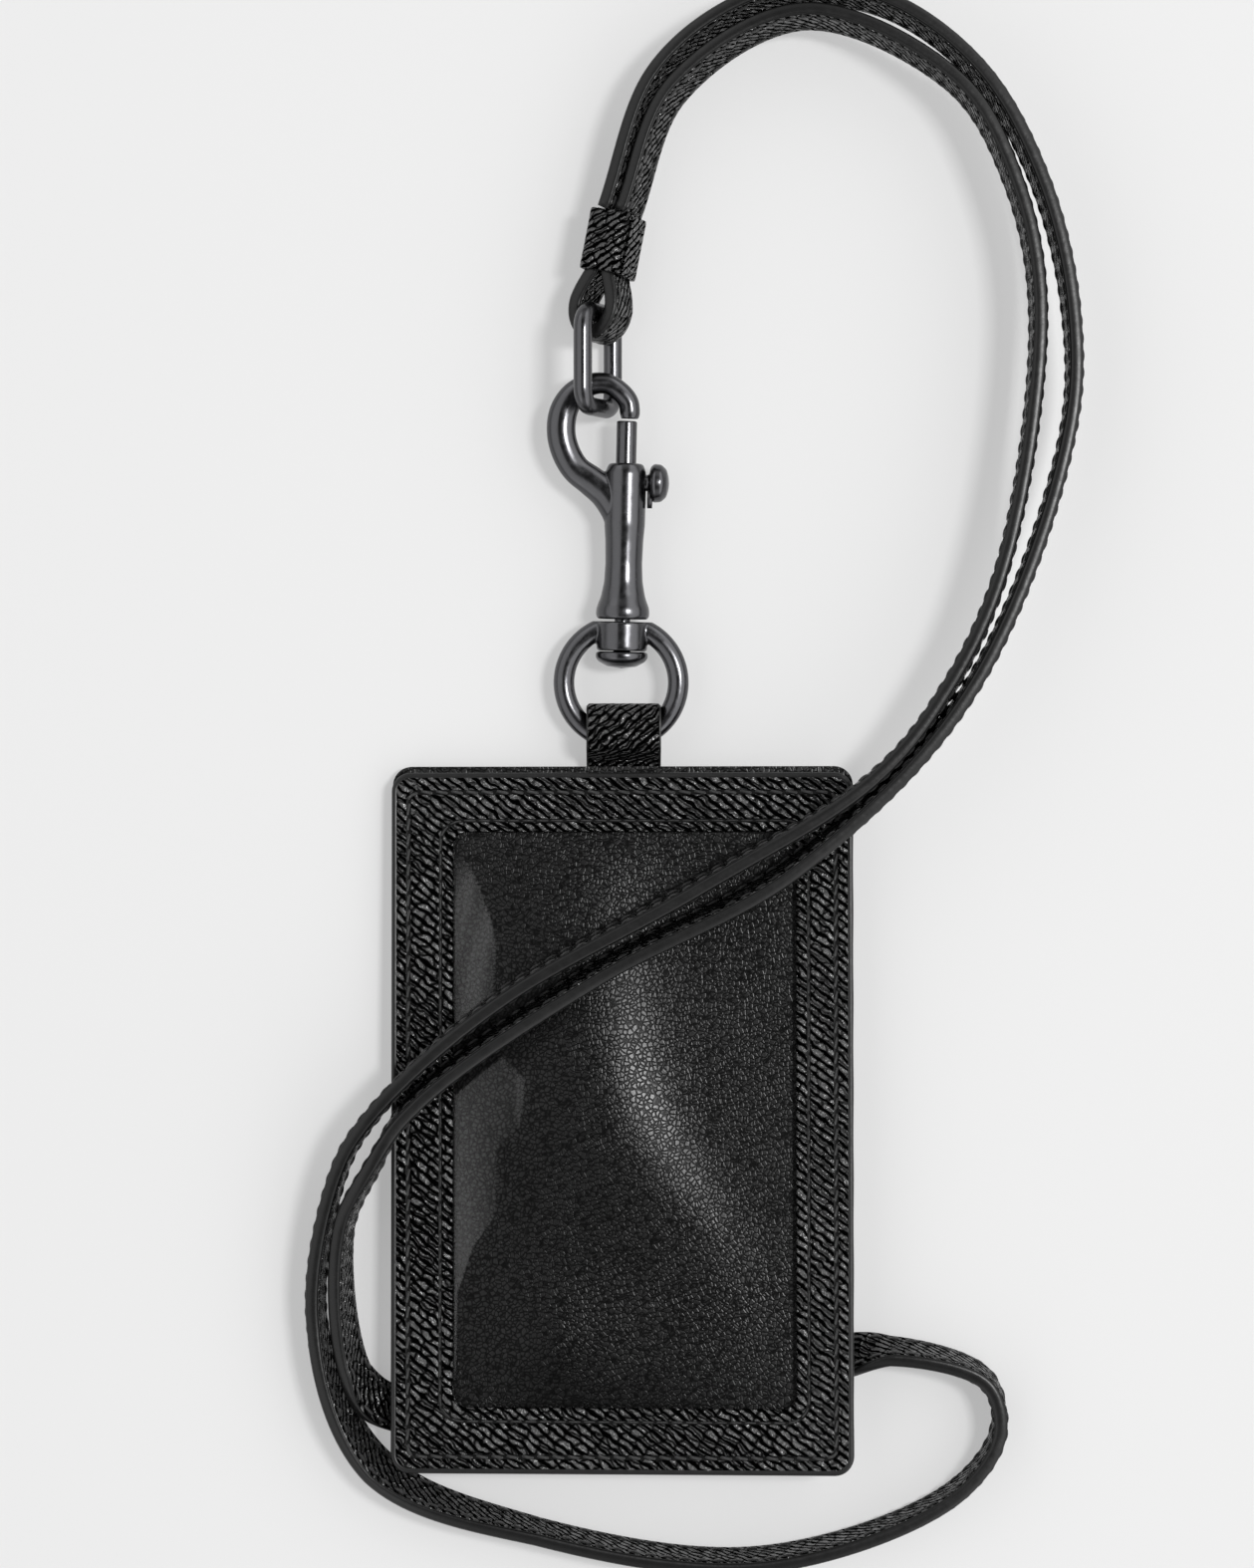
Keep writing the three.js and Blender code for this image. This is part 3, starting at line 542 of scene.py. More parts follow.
def crease_shade_leather(name):
    """Calf pressed flat by a hot crease iron, so its grain is gone. It is also near black and dull:
    painted shade in the seam channel and the crease.
    """
    material, tree = new_material(name)
    where = node(tree, "ShaderNodeTexCoord")
    drag = node(tree, "ShaderNodeTexNoise", links={"Vector": where.outputs["Object"]}, Scale=2400.0)
    relief = node(tree, "ShaderNodeBump", links={"Height": drag.outputs["Fac"]}, Strength=0.4,
                  Distance=0.05 * mm)
    # Painted shade: near black with little shine, for the bottom of the seam channel and the crease.
    surface_out(tree, node(tree, "ShaderNodeBsdfPrincipled", links={"Normal": relief.outputs[0]},
                           Base_Color=srgb("#030303"), Roughness=0.5, IOR=1.5, Specular_IOR_Level=0.12))
    return material


front_panel = new_piece("front_panel_leather", on_case(verts), faces, "badge_case", ["front_frame"],
                        uvs=verts[:, :2] * 10,
                        slots=[front_slot(k // ring_size) for k in range(len(faces))])
for material in (case_leather, case_paint, crease_shade_leather("pressed_crease_painted_shade")):
    front_panel.data.materials.append(material)

# ---- Back panel ----
# The wearer's side: one plain sheet of the same crossgrain leather with its edge turned over a bead
# of paint and the same seam showing through.
back_rings = [at_level(outline_from_edge(i * mm, (case_w, case_h), (0, 0)), z * mm) for i, z in (
    (0.1, 0.72), (0.0, 0.6), (0.02, 0.3), (0.15, 0.1), (0.4, 0.02), (0.8, 0.06), (0.9, 0.04),
    (1.3, 0.0))]
back_rings += [at_level(outline_from_seam(o * mm), z * mm) for o, z in (
    (0.6, 0.0), (0.35, 0.06), (0.0, 0.22), (-0.35, 0.06), (-0.7, 0.0), (-2.5, -0.01))]
verts, faces = lofted(back_rings)
ring_size, back_paint_rings = len(back_rings[0]), 5
faces.append(tuple((len(back_rings) - 1) * ring_size + j for j in range(ring_size)))
faces.append(tuple(range(ring_size))[::-1])
slots = [1 if k // ring_size < back_paint_rings else 0 for k in range(len(faces) - 2)] + [0, 0]
back = new_piece("back_panel_leather", on_case(verts), faces, "badge_case", ["back_panel"],
                 uvs=verts[:, :2] * 10, slots=slots)
back.data.materials.append(case_leather)
back.data.materials.append(case_paint)

# ---- Painted side of the case ----
# The layers' three sewn sides are sanded flush and painted together, so they read as one edge.
side_outline = rounded_outline(case_w, case_h, corner_r, like=(case_w, case_h))
side_top = case_h / 2 - 3 * mm
start = int(np.argmin(np.abs(side_outline[:, 1] - side_top) + 1e3 * (side_outline[:, 0] > 0)))
side_outline = np.roll(side_outline, -start, 0)
kept = side_outline[side_outline[:, 1] < side_top - 0.2 * mm]
rings = []
for k, (x, y) in enumerate(kept):
    before, after = kept[max(k - 1, 0)], kept[min(k + 1, len(kept) - 1)]
    d = (after - before) / max(hypot(*(after - before)), 1e-9)
    outward = np.array((d[1], -d[0]))
    swell = 0.03 * mm * sin(k * 0.35)
    rings.append([(*(np.array((x, y)) + outward * o * mm + outward * swell), z * mm) for o, z in (
        (-1.4, 0.74), (-0.25, 0.66), (-0.02, 0.9), (0.04, 1.6), (0.04, 2.2), (-0.02, 2.55),
        (-0.25, 2.68), (-1.4, 2.6))])
verts, faces = lofted(rings, capped=True)
side_paint = new_piece("case_side_paint", on_case(verts), faces, "badge_case", ["pocket_filler"])
side_paint.data.materials.append(case_paint)

# ---- Pocket lining ----
# The leather behind the card: smooth calf with a fine natural pebble. It is glued at its edges only,
# so it swells in the middle and takes a soft slanting sheen.


def inside_corners(x, y, w, h, r):
    """The nearest point inside a rectangle with round corners."""
    cx, cy = w / 2 - r, h / 2 - r
    dx, dy = max(abs(x) - cx, 0), max(abs(y) - cy, 0)
    reach = hypot(dx, dy)
    if dx > 0 and dy > 0 and reach > r:
        return ((cx + dx * r / reach) * (1 if x > 0 else -1),
                (cy + dy * r / reach) * (1 if y > 0 else -1))
    return x, y


def smooth_calf(name):
    """Smooth calf with a fine pebble and a low waxed shine, dyed black through. The cracks between
    pebbles get less shine: painted shade in the cracks.
    """
    material, tree = new_material(name)
    flat = millimetres(tree)
    drift = node(tree, "ShaderNodeTexNoise", links={"Vector": flat.outputs[0]}, Scale=0.9, Detail=3.0)
    sway = node(tree, "ShaderNodeVectorMath", {"operation": "MULTIPLY_ADD"},
                {0: drift.outputs["Color"], 2: flat.outputs[0]}, _1=(0.5, 0.5, 0))
    pebbles = node(tree, "ShaderNodeTexVoronoi", {"feature": "DISTANCE_TO_EDGE"},
                   {"Vector": sway.outputs[0]}, Scale=1.45)
    crown = node(tree, "ShaderNodeMapRange", {"interpolation_type": "SMOOTHSTEP"},
                 {"Value": pebbles.outputs["Distance"]}, From_Max=0.24)
    pores = node(tree, "ShaderNodeTexNoise", links={"Vector": flat.outputs[0]}, Scale=5.0, Detail=2.0)
    height = node(tree, "ShaderNodeMath", {"operation": "MULTIPLY_ADD"},
                  {0: pores.outputs["Fac"], 2: crown.outputs[0]}, _1=0.25)
    relief = node(tree, "ShaderNodeBump", links={"Height": height.outputs[0]}, Strength=1.0,
                  Distance=0.027 * mm)
    # Painted shade: little shine in the cracks between the pebbles, full shine on their crowns.
    crack_shade_shine = node(tree, "ShaderNodeMapRange", links={"Value": crown.outputs[0]},
                       To_Min=0.1, To_Max=0.58)
    patches = node(tree, "ShaderNodeTexNoise", links={"Vector": flat.outputs[0]}, Scale=0.06,
                   Detail=2.0)
    gloss = node(tree, "ShaderNodeMapRange", links={"Value": patches.outputs["Fac"]},
                 From_Min=0.3, From_Max=0.7, To_Min=0.3, To_Max=0.36)
    shader = node(tree, "ShaderNodeBsdfPrincipled", links={
        "Roughness": gloss.outputs[0], "Normal": relief.outputs[0],
        "Specular IOR Level": crack_shade_shine.outputs[0]}, IOR=1.5, Base_Color=srgb("#060606"))
    surface_out(tree, shader)
    return material


lining_calf = smooth_calf("smooth_calf_lining")


def lining_swell(x, y):
    """How far the lining stands up: high on the left, it steps down along a line that runs from the
    top centre to the lower right, and the step takes the light."""
    u, v = x / (window_size[0] / 2), y / (window_size[1] / 2)
    if abs(u) >= 1 or abs(v) >= 1:
        return 0.0
    fade = (1 - u * u) * (1 - v**6)
    step_x = 0.0 + 0.95 / (1 + exp(5.5 * v + 1.5))
    steep = 0.3 + 0.7 * exp(-(((v - 0.12) / 0.5) ** 2))
    step = steep / (1 + exp((u - step_x) / 0.1))
    low_left = exp(-(((u + 0.5) / 0.3) ** 2) - ((v + 0.8) / 0.2) ** 2)
    waves = 0.04 * sin(3.1 * u + 4.2 * v) + 0.03 * sin(6.3 * v - 2.2 * u + 0.8)
    return (0.82 * step + 0.3 * low_left + waves + 0.05) * fade * mm


def soft_sheet(name, across, up, place, height_at, slope, replaces):
    """A thin sheet over a grid, whose shading leans slope times as far as its gentle shape does."""
    flat = [place(i / across - 0.5, j / up - 0.5) for j in range(up + 1) for i in range(across + 1)]
    grid = np.array([(x, y, height_at(x, y)) for x, y in flat])
    faces = [(k, k + 1, k + across + 2, k + across + 1) for j in range(up)
             for k in range(j * (across + 1), j * (across + 1) + across)]
    sheet = new_piece(name, on_case(grid), faces, "badge_case", replaces, uvs=grid[:, :2] * 10)
    step = 0.2 * mm
    leans = [(-slope * (height_at(x + step, y) - height_at(x - step, y)) / (2 * step),
              -slope * (height_at(x, y + step) - height_at(x, y - step)) / (2 * step), 1)
             for x, y in flat]
    turn = np.array(case_frame)[:3, :3]
    sheet.data.normals_split_custom_set_from_vertices(unit(np.array(leans)) @ turn.T)
    return sheet


def lining_place(u, v):
    w, h = case_w - 0.1 * mm, case_h - 0.1 * mm
    return inside_corners(u * w, v * h, w, h, corner_r)


lining_top, lining_lean = levels["lining"][1], 2.9
lining = soft_sheet("lining_calf", 110, 168, lining_place,
                    lambda x, y: lining_top + lining_swell(x - window_centre[0], y), lining_lean,
                    ["pocket_lining", "stiffener_board"])
lining.data.materials.append(lining_calf)

# ---- Window film ----
# Clear soft vinyl, a quarter of a millimetre thick, sewn in behind the front panel. It never lies
# quite flat, so it catches long streaks of light near its edges.
vinyl, tree = new_material("clear_vinyl_film")
clear = node(tree, "ShaderNodeBsdfTransparent", Color=(0.93, 0.93, 0.93, 1))
shine = node(tree, "ShaderNodeBsdfGlossy", Color=(1, 1, 1, 1), Roughness=0.07)
rim = node(tree, "ShaderNodeFresnel", IOR=1.46)
surface_out(tree, node(tree, "ShaderNodeMixShader", links={
    0: rim.outputs[0], 1: clear.outputs[0], 2: shine.outputs[0]}))
film_w, film_h = window_size[0] + 4 * mm, window_size[1] + 4 * mm
film_level = (levels["film"][0] + levels["film"][1]) / 2


def film_swell(x, y):
    """The film's long shallow waves, strongest along its left edge."""
    u, v = (x - window_centre[0]) / (window_size[0] / 2), y / (window_size[1] / 2)
    if abs(u) >= 1 or abs(v) >= 1:
        return 0.0
    fade = 1 - abs(v) ** 8
    reach = np.interp(v, (-1, -0.6, -0.45, -0.34, -0.1, -0.02, 0.14, 0.22, 0.4, 0.62, 0.8, 0.95, 1),
                      (0.02, 0.03, 0.12, 0.25, 0.27, 0.4, 0.43, 0.3, 0.24, 0.26, 0.17, 0.04, 0.02))
    ramp = reach * min(1, (u + 1) / reach) * (1 - u) / 2
    wisps = 0.0045 * sin(34 * u + 5 * sin(4 * v)) * min(max((-0.3 - u) / 0.2, 0), 1)
    wisps *= min(max((v - 0.3) / 0.15, 0), 1)
    waves = 0.35 * sin(2.4 * u + 3 * v) + 0.3 * sin(3.5 * v + 2 * u)
    resting = max(0, lining_swell(x - window_centre[0], y) / mm - 0.5)
    return (1.05 * ramp + wisps + (0.08 * waves + 0.2 * resting) * (1 - u**4)) * fade * mm


film_lean = 3.6
film = soft_sheet("window_vinyl", 120, 150,
                  lambda u, v: (u * film_w + window_centre[0], v * film_h),
                  lambda x, y: film_level + film_swell(x, y), film_lean, ["window_film"])
film.data.materials.append(vinyl)

# ---- Case seams ----
# The outer seam is a lockstitch through every layer, so it shows on the front and on the back.
# The line round the window holds the film, in finer thread pressed into its crease.


def case_row(name, outline, z, facing, replaces, **how):
    points = at_level(np.vstack([outline, outline[:1]]), z)
    outward = np.stack([np.gradient(points[:, 1]), -np.gradient(points[:, 0]), 0 * points[:, 0]], 1)
    m = np.array(case_frame)[:3, :3]
    up_way = np.tile(np.array((0, 0, facing)) @ m.T, (len(points), 1))
    return stitch_row(name, on_case(points), unit(outward) @ m.T, up_way, 0, 0, "badge_case",
                      replaces=replaces, **how)


case_row("front_seam_stitches", outline_from_seam(0), front_top + 0.02 * mm, 1,
         ["front_edge_stitching"], pitch=2.3 * mm, length=1.85 * mm, thread=0.5 * mm, slant=0.16)
case_row("window_seam_stitches", outline_from_window(crease_out, crease_centre),
         front_top - 0.14 * mm, 1, ["window_stitching"], pitch=2.2 * mm, length=2.0 * mm,
         thread=0.26 * mm)
case_row("back_seam_stitches", outline_from_seam(0), 0.22 * mm, -1, ["back_edge_stitching"],
         pitch=2.5 * mm, length=1.95 * mm, thread=0.46 * mm, slant=0.12)

# ---- Leather tab ----
# One strip of the case's leather, folded over the ring and sewn in between the case's layers.
tab_w, tab_t = 11.3 * mm, 1.0 * mm
fold_r = 2.6 * mm
_, case_end, case_top = on_case([(0, case_h / 2, levels["board"][0])])[0]
fold_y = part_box("leather_tab")[1][1] - 3.1 * mm
fold_z = case_top + 2.55 * mm
tab_path = [(case_end - 6 * mm, case_top + 0.5 * mm), (case_end + 0.1 * mm, case_top + 0.45 * mm),
            (case_end + 1.3 * mm, case_top + 1.3 * mm), (case_end + 2.8 * mm, fold_z + 1.9 * mm),
            (fold_y - fold_r, fold_z + 2.52 * mm)]
tab_path += [(fold_y + fold_r * sin(t), fold_z + fold_r * cos(t)) for t in np.linspace(0, pi, 13)]
tab_path += [(fold_y - fold_r, fold_z - 2.5 * mm), (case_end + 2.4 * mm, case_top - 0.1 * mm),
             (case_end + 1.0 * mm, case_top + 0.15 * mm), (case_end - 6 * mm, case_top + 0.1 * mm)]
tab_line = smooth_route([(0.1, y / mm, z / mm) for y, z in tab_path], 5) * mm
tab_roll = np.array((cos(case_roll), 0, -sin(case_roll)))
tab_steps = len(tab_line)
thin = np.interp(np.arange(tab_steps), [0, 6, 14, tab_steps - 14, tab_steps - 6, tab_steps],
                 [0.25, 0.3, 1, 1, 0.3, 0.25])
profile, painted = band_profile(tab_w, tab_t, seam_in=2 * mm, seam_depth=0, bead=0.3 * mm)
side, out = band_frame(tab_line, np.tile(tab_roll, (tab_steps, 1)))
rings = [p + profile[:, :1] * s + profile[:, 1:] * o * k
         for p, s, o, k in zip(tab_line, side, out, thin)]
verts, faces = lofted(rings, capped=True)
tab = new_piece("tab_leather", verts, faces, "badge_case", ["leather_tab"],
                uvs=[(a * 10, r * 10) for r in run_length(tab_line) for a in run_length(profile)],
                slots=painted * (tab_steps - 1) + [1, 1])
tab.data.materials.append(fine_leather)
tab.data.materials.append(case_paint)

# ---- Where the hook's hardware lies ----
# Ring, hook and bolt share one line from the tab to the link. It leans a little to the right and
# rises a little, because the hook's eye rests on the link.
ring_centre = Vector((-0.3, 66.3, 4.15)) * mm
line_frame = (Matrix.Translation(ring_centre) @ Matrix.Rotation(radians(1.7), 4, "X")
              @ Matrix.Rotation(radians(-1.3), 4, "Z"))


def on_line(points):
    """Points given along the hook's line, y from the ring's centre towards the eye."""
    m = np.array(line_frame)
    return np.asarray(points, float) * mm @ m[:3, :3].T + m[:3, 3]


def gunmetal_plate(name, rough=0.22):
    """Zinc casting, polished and plated dark nickel under clear lacquer: a smoky mirror with a few
    hairline rubs."""
    material, tree = new_material(name)
    where = node(tree, "ShaderNodeTexCoord")
    rubs = node(tree, "ShaderNodeTexNoise", links={"Vector": where.outputs["Object"]},
                Scale=900.0, Detail=4.0)
    gloss = node(tree, "ShaderNodeMapRange", links={"Value": rubs.outputs["Fac"]},
                 From_Min=0.3, From_Max=0.7, To_Min=rough * 0.8, To_Max=rough * 1.3)
    relief = node(tree, "ShaderNodeBump", links={"Height": rubs.outputs["Fac"]}, Strength=0.05,
                  Distance=0.02 * mm)
    shader = node(tree, "ShaderNodeBsdfPrincipled", links={
        "Roughness": gloss.outputs[0], "Normal": relief.outputs[0]}, Metallic=1.0,
        Base_Color=srgb("#525254"))
    surface_out(tree, shader)
    return material


gunmetal = gunmetal_plate("gunmetal_plated_zinc")


def lathe(profile, steps=48):
    """Vertices and faces turned about the y axis from (radius, y) points; ends close on the axis."""
    rings = [[(r * cos(t), y, -r * sin(t)) for t in np.linspace(0, 2 * pi, steps, endpoint=False)]
             for r, y in profile]
    return lofted(rings, capped=True)


def rounded_profile(points, radius=0.25, steps=4):
    """The same profile with each inner corner rounded off."""
    out = [points[0]]
    for before, corner, after in zip(points, points[1:], points[2:]):
        a, b, c = (np.array(p, float) for p in (before, corner, after))
        ra = min(radius, 0.45 * hypot(*(a - b)), 0.45 * hypot(*(c - b)))
        p = b + (a - b) / max(hypot(*(a - b)), 1e-9) * ra
        q = b + (c - b) / max(hypot(*(c - b)), 1e-9) * ra
        for t in np.linspace(0, 1, steps + 1):
            out.append(tuple((1 - t) ** 2 * p + 2 * t * (1 - t) * b + t * t * q))
    out.append(points[-1])
    return out


def wire(points, radius, flat=(0, 0, 1), closed=False, sides=20):
    """A round bar along a line; radius is one number or (across, through) for each point."""
    points = np.asarray(points, float)
    along = run_directions(points, closed)
    side = np.tile(np.array(flat, float), (len(points), 1))
    side = unit(side - (side * along).sum(1, keepdims=True) * along)
    out = np.cross(side, along)
    if np.ndim(radius) == 0:
        radius = [(radius, radius)] * len(points)
    turns = np.linspace(0, 2 * pi, sides, endpoint=False)
    rings = [p + np.outer(np.cos(turns), s) * b + np.outer(np.sin(turns), o) * a
             for p, s, o, (a, b) in zip(points, side, out, radius)]
    return lofted(rings, closed_run=closed, capped=not closed)


def joined(shells):
    """Several closed shells as one list of vertices and faces."""
    verts, faces = [], []
    for v, f in shells:
        faces += [tuple(i + len(verts) for i in face) for face in f]
        verts += [tuple(p) for p in v]
    return np.array(verts), faces


def fused(piece, voxel, rounds=6):
    """Melts a piece's shells into one skin with soft fillets, as a casting has."""
    remesh = piece.modifiers.new("melt", "REMESH")
    remesh.mode, remesh.voxel_size, remesh.use_smooth_shade = "VOXEL", voxel, True
    soft = piece.modifiers.new("soften", "SMOOTH")
    soft.factor, soft.iterations = 0.5, rounds
    apply_modifiers(piece)


def apply_modifiers(piece):
    """Writes a piece's modifiers into its mesh."""
    bpy.context.view_layer.update()
    seen = piece.evaluated_get(bpy.context.evaluated_depsgraph_get())
    mesh = bpy.data.meshes.new_from_object(seen)
    piece.modifiers.clear()
    piece.data = mesh
    for polygon in mesh.polygons:
        polygon.use_smooth = True


def drilled(piece, cutters):
    """Cuts closed shells out of a piece."""
    for shell in cutters:
        mesh = bpy.data.meshes.new("cutter")
        mesh.from_pydata([tuple(v) for v in shell[0]], [], [tuple(f) for f in shell[1]])
        tool = bpy.data.objects.new("cutter", mesh)
        bpy.context.scene.collection.objects.link(tool)
        cut = piece.modifiers.new("cut", "BOOLEAN")
        cut.operation, cut.object, cut.solver = "DIFFERENCE", tool, "EXACT"
        apply_modifiers(piece)
        bpy.data.objects.remove(tool)


def metal_piece(name, shells, body, replaces, voxel=None, rounds=6, cutters=(), place=on_line):
    """A metal part from one or more shells in millimetres, fused if it is one casting."""
    verts, faces = joined(shells)
    piece = new_piece(name, place(verts), faces, body, replaces)
    if voxel:
        fused(piece, voxel * mm, rounds)
    if cutters:
        drilled(piece, [(place(v), f) for v, f in cutters])
    piece.data.materials.append(gunmetal)
    return piece


# ---- Swivel ring ----
# A cast ring of round wire with a short collar on it; the hook's rivet turns in the collar.
ring_r, ring_wire = 8.7, 1.6
turns = np.linspace(0, 2 * pi, 96, endpoint=False)
hoop = wire([(ring_r * cos(t), ring_r * sin(t), 0) for t in turns], ring_wire, closed=True)
collar = lathe(rounded_profile([(0, 4.8), (3.85, 4.8), (3.85, 9.2), (0, 9.2)], 0.4))
cap = lathe([(0, 9.22), (6, 9.22), (6, 12), (0, 12)])
ring_turn = np.array(Matrix.Rotation(case_roll, 3, "Y"))
metal_piece("swivel_ring_metal", [hoop, collar], "ring", ["swivel_ring"], voxel=0.16, rounds=5,
            cutters=[cap, lathe([(0, 3.5), (1.35, 3.5), (1.35, 10.5), (0, 10.5)])],
            place=lambda p: on_line(np.asarray(p, float) @ ring_turn.T))

# ---- Swivel rivet ----
# The rivet holds ring and hook together: its domed head sits under the collar.
rivet = lathe(rounded_profile([
    (0, 2.18), (2.2, 2.42), (3.45, 3.1), (3.95, 3.7), (3.95, 4.4), (3.6, 4.68), (1.2, 4.68),
    (1.2, 11.9), (0, 11.9)], 0.3))
metal_piece("swivel_rivet_metal", [rivet], "snap_hook", ["swivel_rivet"])

# ---- Snap hook ----
# One zinc casting: a bell at the swivel, a slim barrel bored for the bolt, and a round eye whose
# nose meets the bolt's end.
barrel = lathe(rounded_profile([
    (0, 9.6), (3.75, 9.6), (4.05, 10.1), (4.05, 11.2), (3.4, 12.9), (2.95, 15.2), (2.8, 18),
    (2.9, 21.5), (3.1, 24), (3.1, 31.9), (2.6, 33.2), (0, 33.2)], 0.5))
eye_route = smooth_route([(x, y, 0) for x, y in (
    (0.0, 23.2), (-1.2, 26.2), (-2.9, 28.6), (-5.2, 30.4), (-7.6, 32.2), (-9.2, 34.8), (-9.95, 37.8),
    (-9.6, 41.0), (-8.1, 43.5), (-5.7, 45.0), (-3.2, 45.2), (-1.2, 44.1), (0.1, 42.6), (0.4, 41.2),
    (0.4, 39.95))], 8)


def eased(u, start, span):
    """0 before start, 1 past start plus span, and a smooth change between."""
    t = min(max((u - start) / span, 0), 1)
    return t**2 * (3 - 2 * t)


eye_size = []
for k in range(len(eye_route)):
    u = k / (len(eye_route) - 1)
    root, tip = 1 - eased(u, 0.1, 0.2), eased(u, 0.45, 0.3)
    nose = 0.25 * max(0, (u - 0.93) / 0.07) ** 2
    eye_size.append((2.2 + 0.35 * root - 0.65 * tip - nose, 1.7 + 0.6 * root - 0.15 * tip - nose))
eye = wire(eye_route, eye_size, sides=28)
bore = lathe([(0, 20.2), (1.72, 20.2), (1.72, 36), (0, 36)])
slot = lofted([[(x, y, z) for y, z in ((23.3, -1.5), (31.9, -1.5), (31.9, 1.5), (23.3, 1.5))]
               for x in (0.5, 6.0)], capped=True)
slot = (slot[0], [f[::-1] for f in slot[1]])
metal_piece("snap_hook_metal", [barrel, eye], "snap_hook", ["hook_body"], voxel=0.14, rounds=5,
            cutters=[bore, slot])

# ---- Bolt, thumb stud and spring ----
# The bolt slides down the barrel when the thumb stud is pulled back. Its tail is bored hollow, so
# it slips over the spring, which is wound from steel wire and sits at the foot of the barrel.
pin = lathe(rounded_profile([
    (0, 32.2), (1.2, 32.2), (1.2, 26.2), (1.55, 26.2), (1.55, 39.6), (0, 39.6)], 0.3))
metal_piece("latch_bolt_metal", [pin], "bolt", ["latch_bolt"])
stud = lathe(rounded_profile([
    (0, 1.22), (1.25, 1.22), (1.25, 3.5), (2.45, 3.75), (2.95, 4.3), (2.85, 5.4), (2.1, 6.2),
    (0.9, 6.55), (0, 6.6)], 0.35), 40)
sideways = np.array(((0, 1, 0), (-1, 0, 0), (0, 0, 1)), float)
stud = (stud[0] @ sideways.T * (1, -1, 1) + (0, 30.3, 0), [f[::-1] for f in stud[1]])
tongue = lofted([[(x, y, z) for x, z in ((3.35, -w), (4.1, -w), (4.1, w), (3.35, w))]
                 for y, w in ((26.5, 0.75), (29.9, 1.0))], capped=True)
metal_piece("thumb_stud_metal", [stud, tongue], "bolt", ["thumb_stud"])
coil_turn, coil_l = 12 * pi, 5.5
coil = [(cos(t), 20.4 + coil_l * t / coil_turn, sin(t)) for t in np.linspace(0, coil_turn, 160)]
metal_piece("bolt_spring_wire", [wire(coil, 0.13, flat=(0, 1, 0), sides=8)], "snap_hook",
            ["bolt_spring"])

# ---- Link ----
# A plain oblong link stands on edge between the hook's eye and the strap's end.
link_frame = (Matrix.Translation(Vector((-3.8, 115.0, 6.5)) * mm)
              @ Matrix.Rotation(radians(90 - 24), 4, "Y"))
link_wire, link_corner = 1.4, 2.7
link_w, link_l = 8.2 + 2 * link_wire, 17.2 - 2 * link_wire
link_line = rounded_outline(link_w * mm, link_l * mm, link_corner * mm, pitch=0.6 * mm)
link_line = np.column_stack([link_line / mm, np.zeros(len(link_line))])


def on_link(points):
    m = np.array(link_frame)
    return np.asarray(points, float) * mm @ m[:3, :3].T + m[:3, 3]


metal_piece("oblong_link_metal", [wire(link_line, link_wire, closed=True, sides=28)], "link",
            ["oblong_link"], place=on_link)

# ---- Strap end ----
# The strap's own leather, bent round the link; both its ends run up into the keeper.
end_frame = (Matrix.Translation(Vector((-1.5, 132.6, 5.7)) * mm)
             @ Matrix.Rotation(radians(-11), 4, "Z") @ Matrix.Rotation(radians(-23), 4, "Y"))
keeper_l = 9.3
half, apart, bottom = keeper_l / 2 - 0.3, 2.1 / 2 + 0.17, -keeper_l / 2 - 5.2
right = [(apart, half, 0), (apart, -keeper_l / 2 + 0.4, 0), (apart + 0.5, -keeper_l / 2 - 1.0, 0)]
bow = [(2.95 * cos(t), bottom + 4.1 * sin(t), 0)
       for t in (0.55 - k / 8 * (pi + 1.1) for k in range(9))]
loop_line = smooth_route(right + bow + [(-x, y, z) for x, y, z in reversed(right)], 8)


def on_end(points):
    m = np.array(end_frame)
    return np.asarray(points, float) @ m[:3, :3].T + m[:3, 3]


loop_line = on_end(loop_line * mm)
loop_side = np.tile(np.array(end_frame)[:3, 2], (len(loop_line), 1))
_, loop_side, loop_out = band(
    "strap_end_leather", loop_line, loop_side, strap_w, strap_t, "badge_case", ["strap_loop"],
    [strap_leather, strap_paint])
seen = slice(20, -20)
strap_seams("strap_end_stitches", loop_line[seen], loop_side[seen], loop_out[seen])

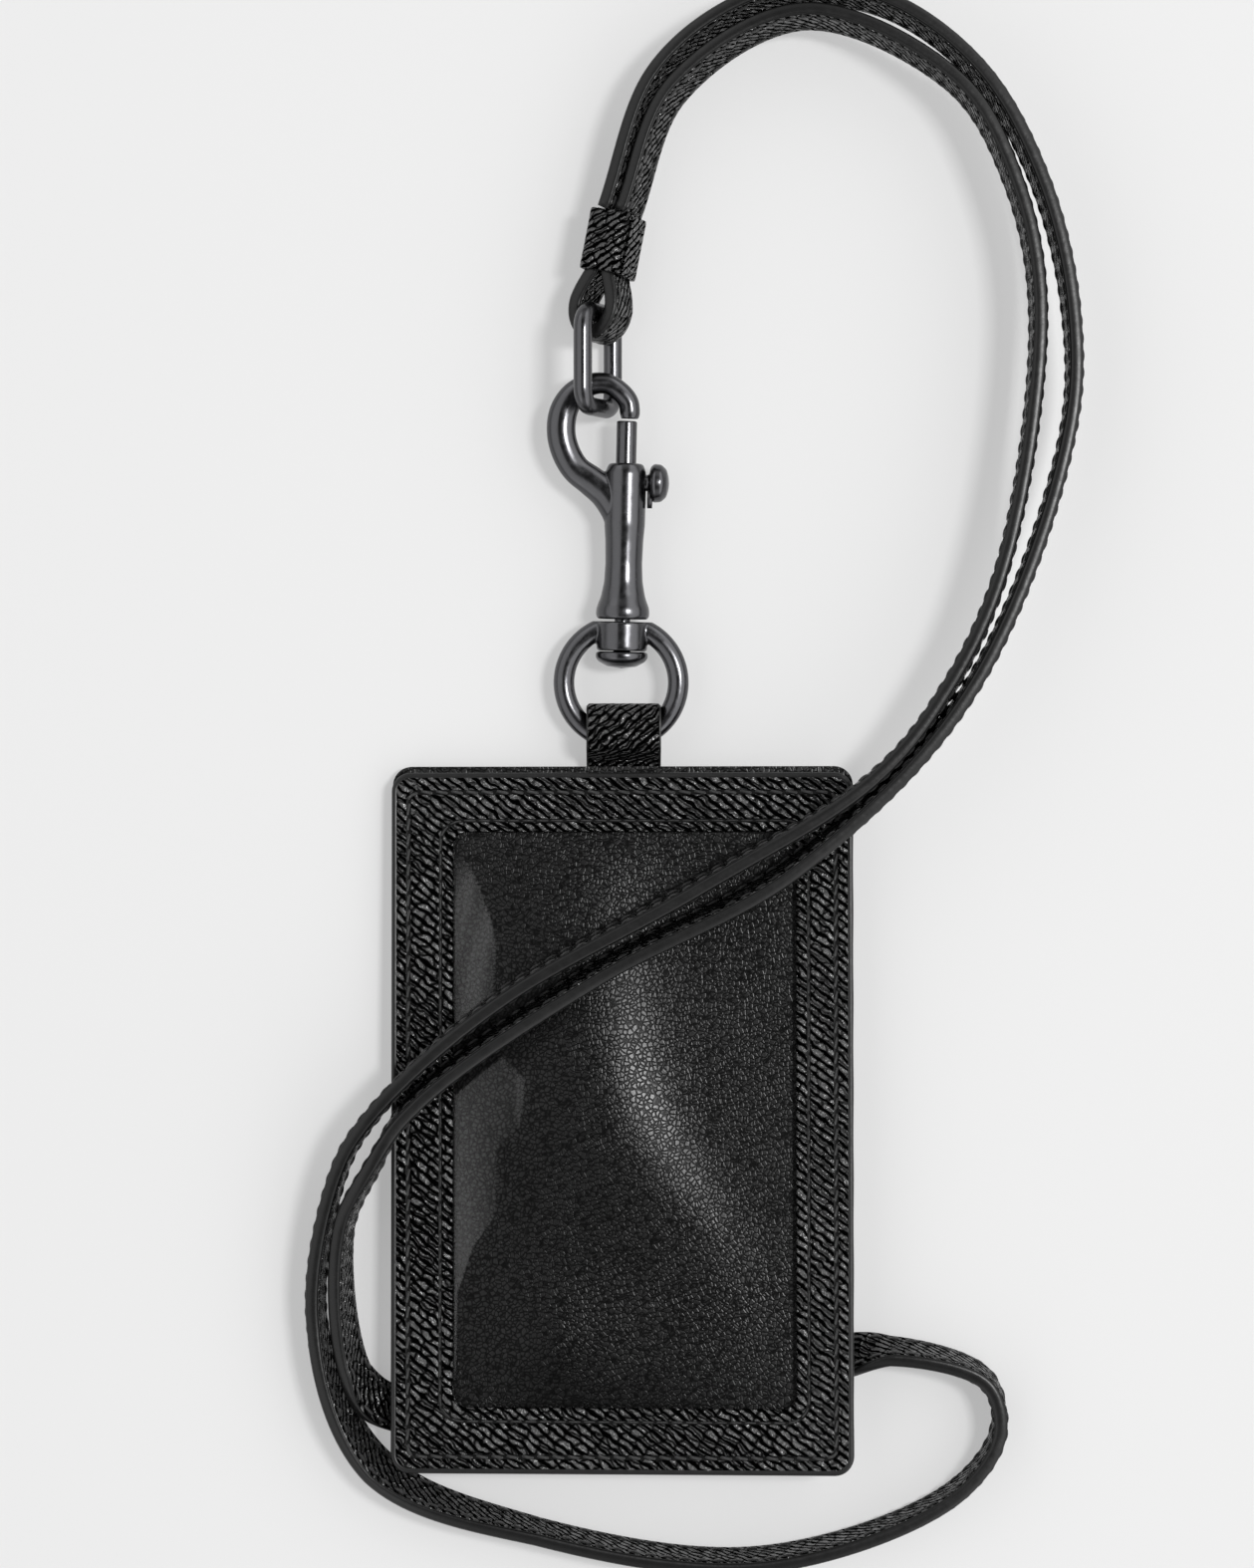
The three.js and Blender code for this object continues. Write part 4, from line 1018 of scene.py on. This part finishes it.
# ---- Keeper ----
# A short wrap of crossgrain leather round both ends of the strap, lapped and glued on one side.
keeper_wall, keeper_room = 0.7, 0.3
inner_w, inner_h = 2.1 * 2 + 0.34 + keeper_room, 7 + keeper_room


def sleeve_ring(grow, r, y):
    """One ring of the wrap: how far out it is, its corner radius, and where along the keeper it is."""
    ring = rounded_outline((inner_w + 2 * grow) * mm, (inner_h + 2 * grow) * mm, r * mm,
                           pitch=0.4 * mm, corner_steps=7, like=(6 * mm, 8 * mm))
    return np.column_stack([ring[:, 0], np.full(len(ring), y * keeper_l / 2 * mm), ring[:, 1]])


sleeve_rings = [sleeve_ring(*ring) for ring in (
    (0.0, 0.5, -1), (0.55, 0.9, -1), (0.7, 1.1, -0.975), (0.74, 1.1, -0.9), (0.72, 1.1, -0.4),
    (0.72, 1.1, 0.0), (0.72, 1.1, 0.4), (0.74, 1.1, 0.9), (0.7, 1.1, 0.975), (0.55, 0.9, 1),
    (0.0, 0.5, 1))]
painted_sleeve_rings = (0, 9, 10)
verts, faces = lofted(sleeve_rings, closed_run=True)
uvs = [(a * 10, ring[0][1] * 10) for ring in sleeve_rings for a in run_length(sleeve_rings[5])]
slots = [1 if k // len(sleeve_rings[0]) in painted_sleeve_rings else 0 for k in range(len(faces))]
sleeve = new_piece("keeper_leather", on_end(verts), [f[::-1] for f in faces], "badge_case", ["keeper"],
                   uvs=uvs, slots=slots)
sleeve.data.materials.append(fine_leather)
sleeve.data.materials.append(case_paint)
lap_x = inner_w / 2 + keeper_wall
rings = [[((lap_x + x) * mm, y * mm, z * mm) for x, y in (
    (-0.1, -4.3), (0.3, -4.25), (0.36, -4.1), (0.36, 4.1), (0.3, 4.25), (-0.1, 4.3))]
         for z in (-1.6, -1.5, -0.5, 0.6, 1.6, 2.3, 2.4)]
verts, faces = lofted(rings, capped=True)
lap = new_piece("keeper_lap", on_end(verts), faces, "badge_case", uvs=verts[:, [2, 1]] * 10,
                smooth=False)
lap.data.materials.append(fine_leather)
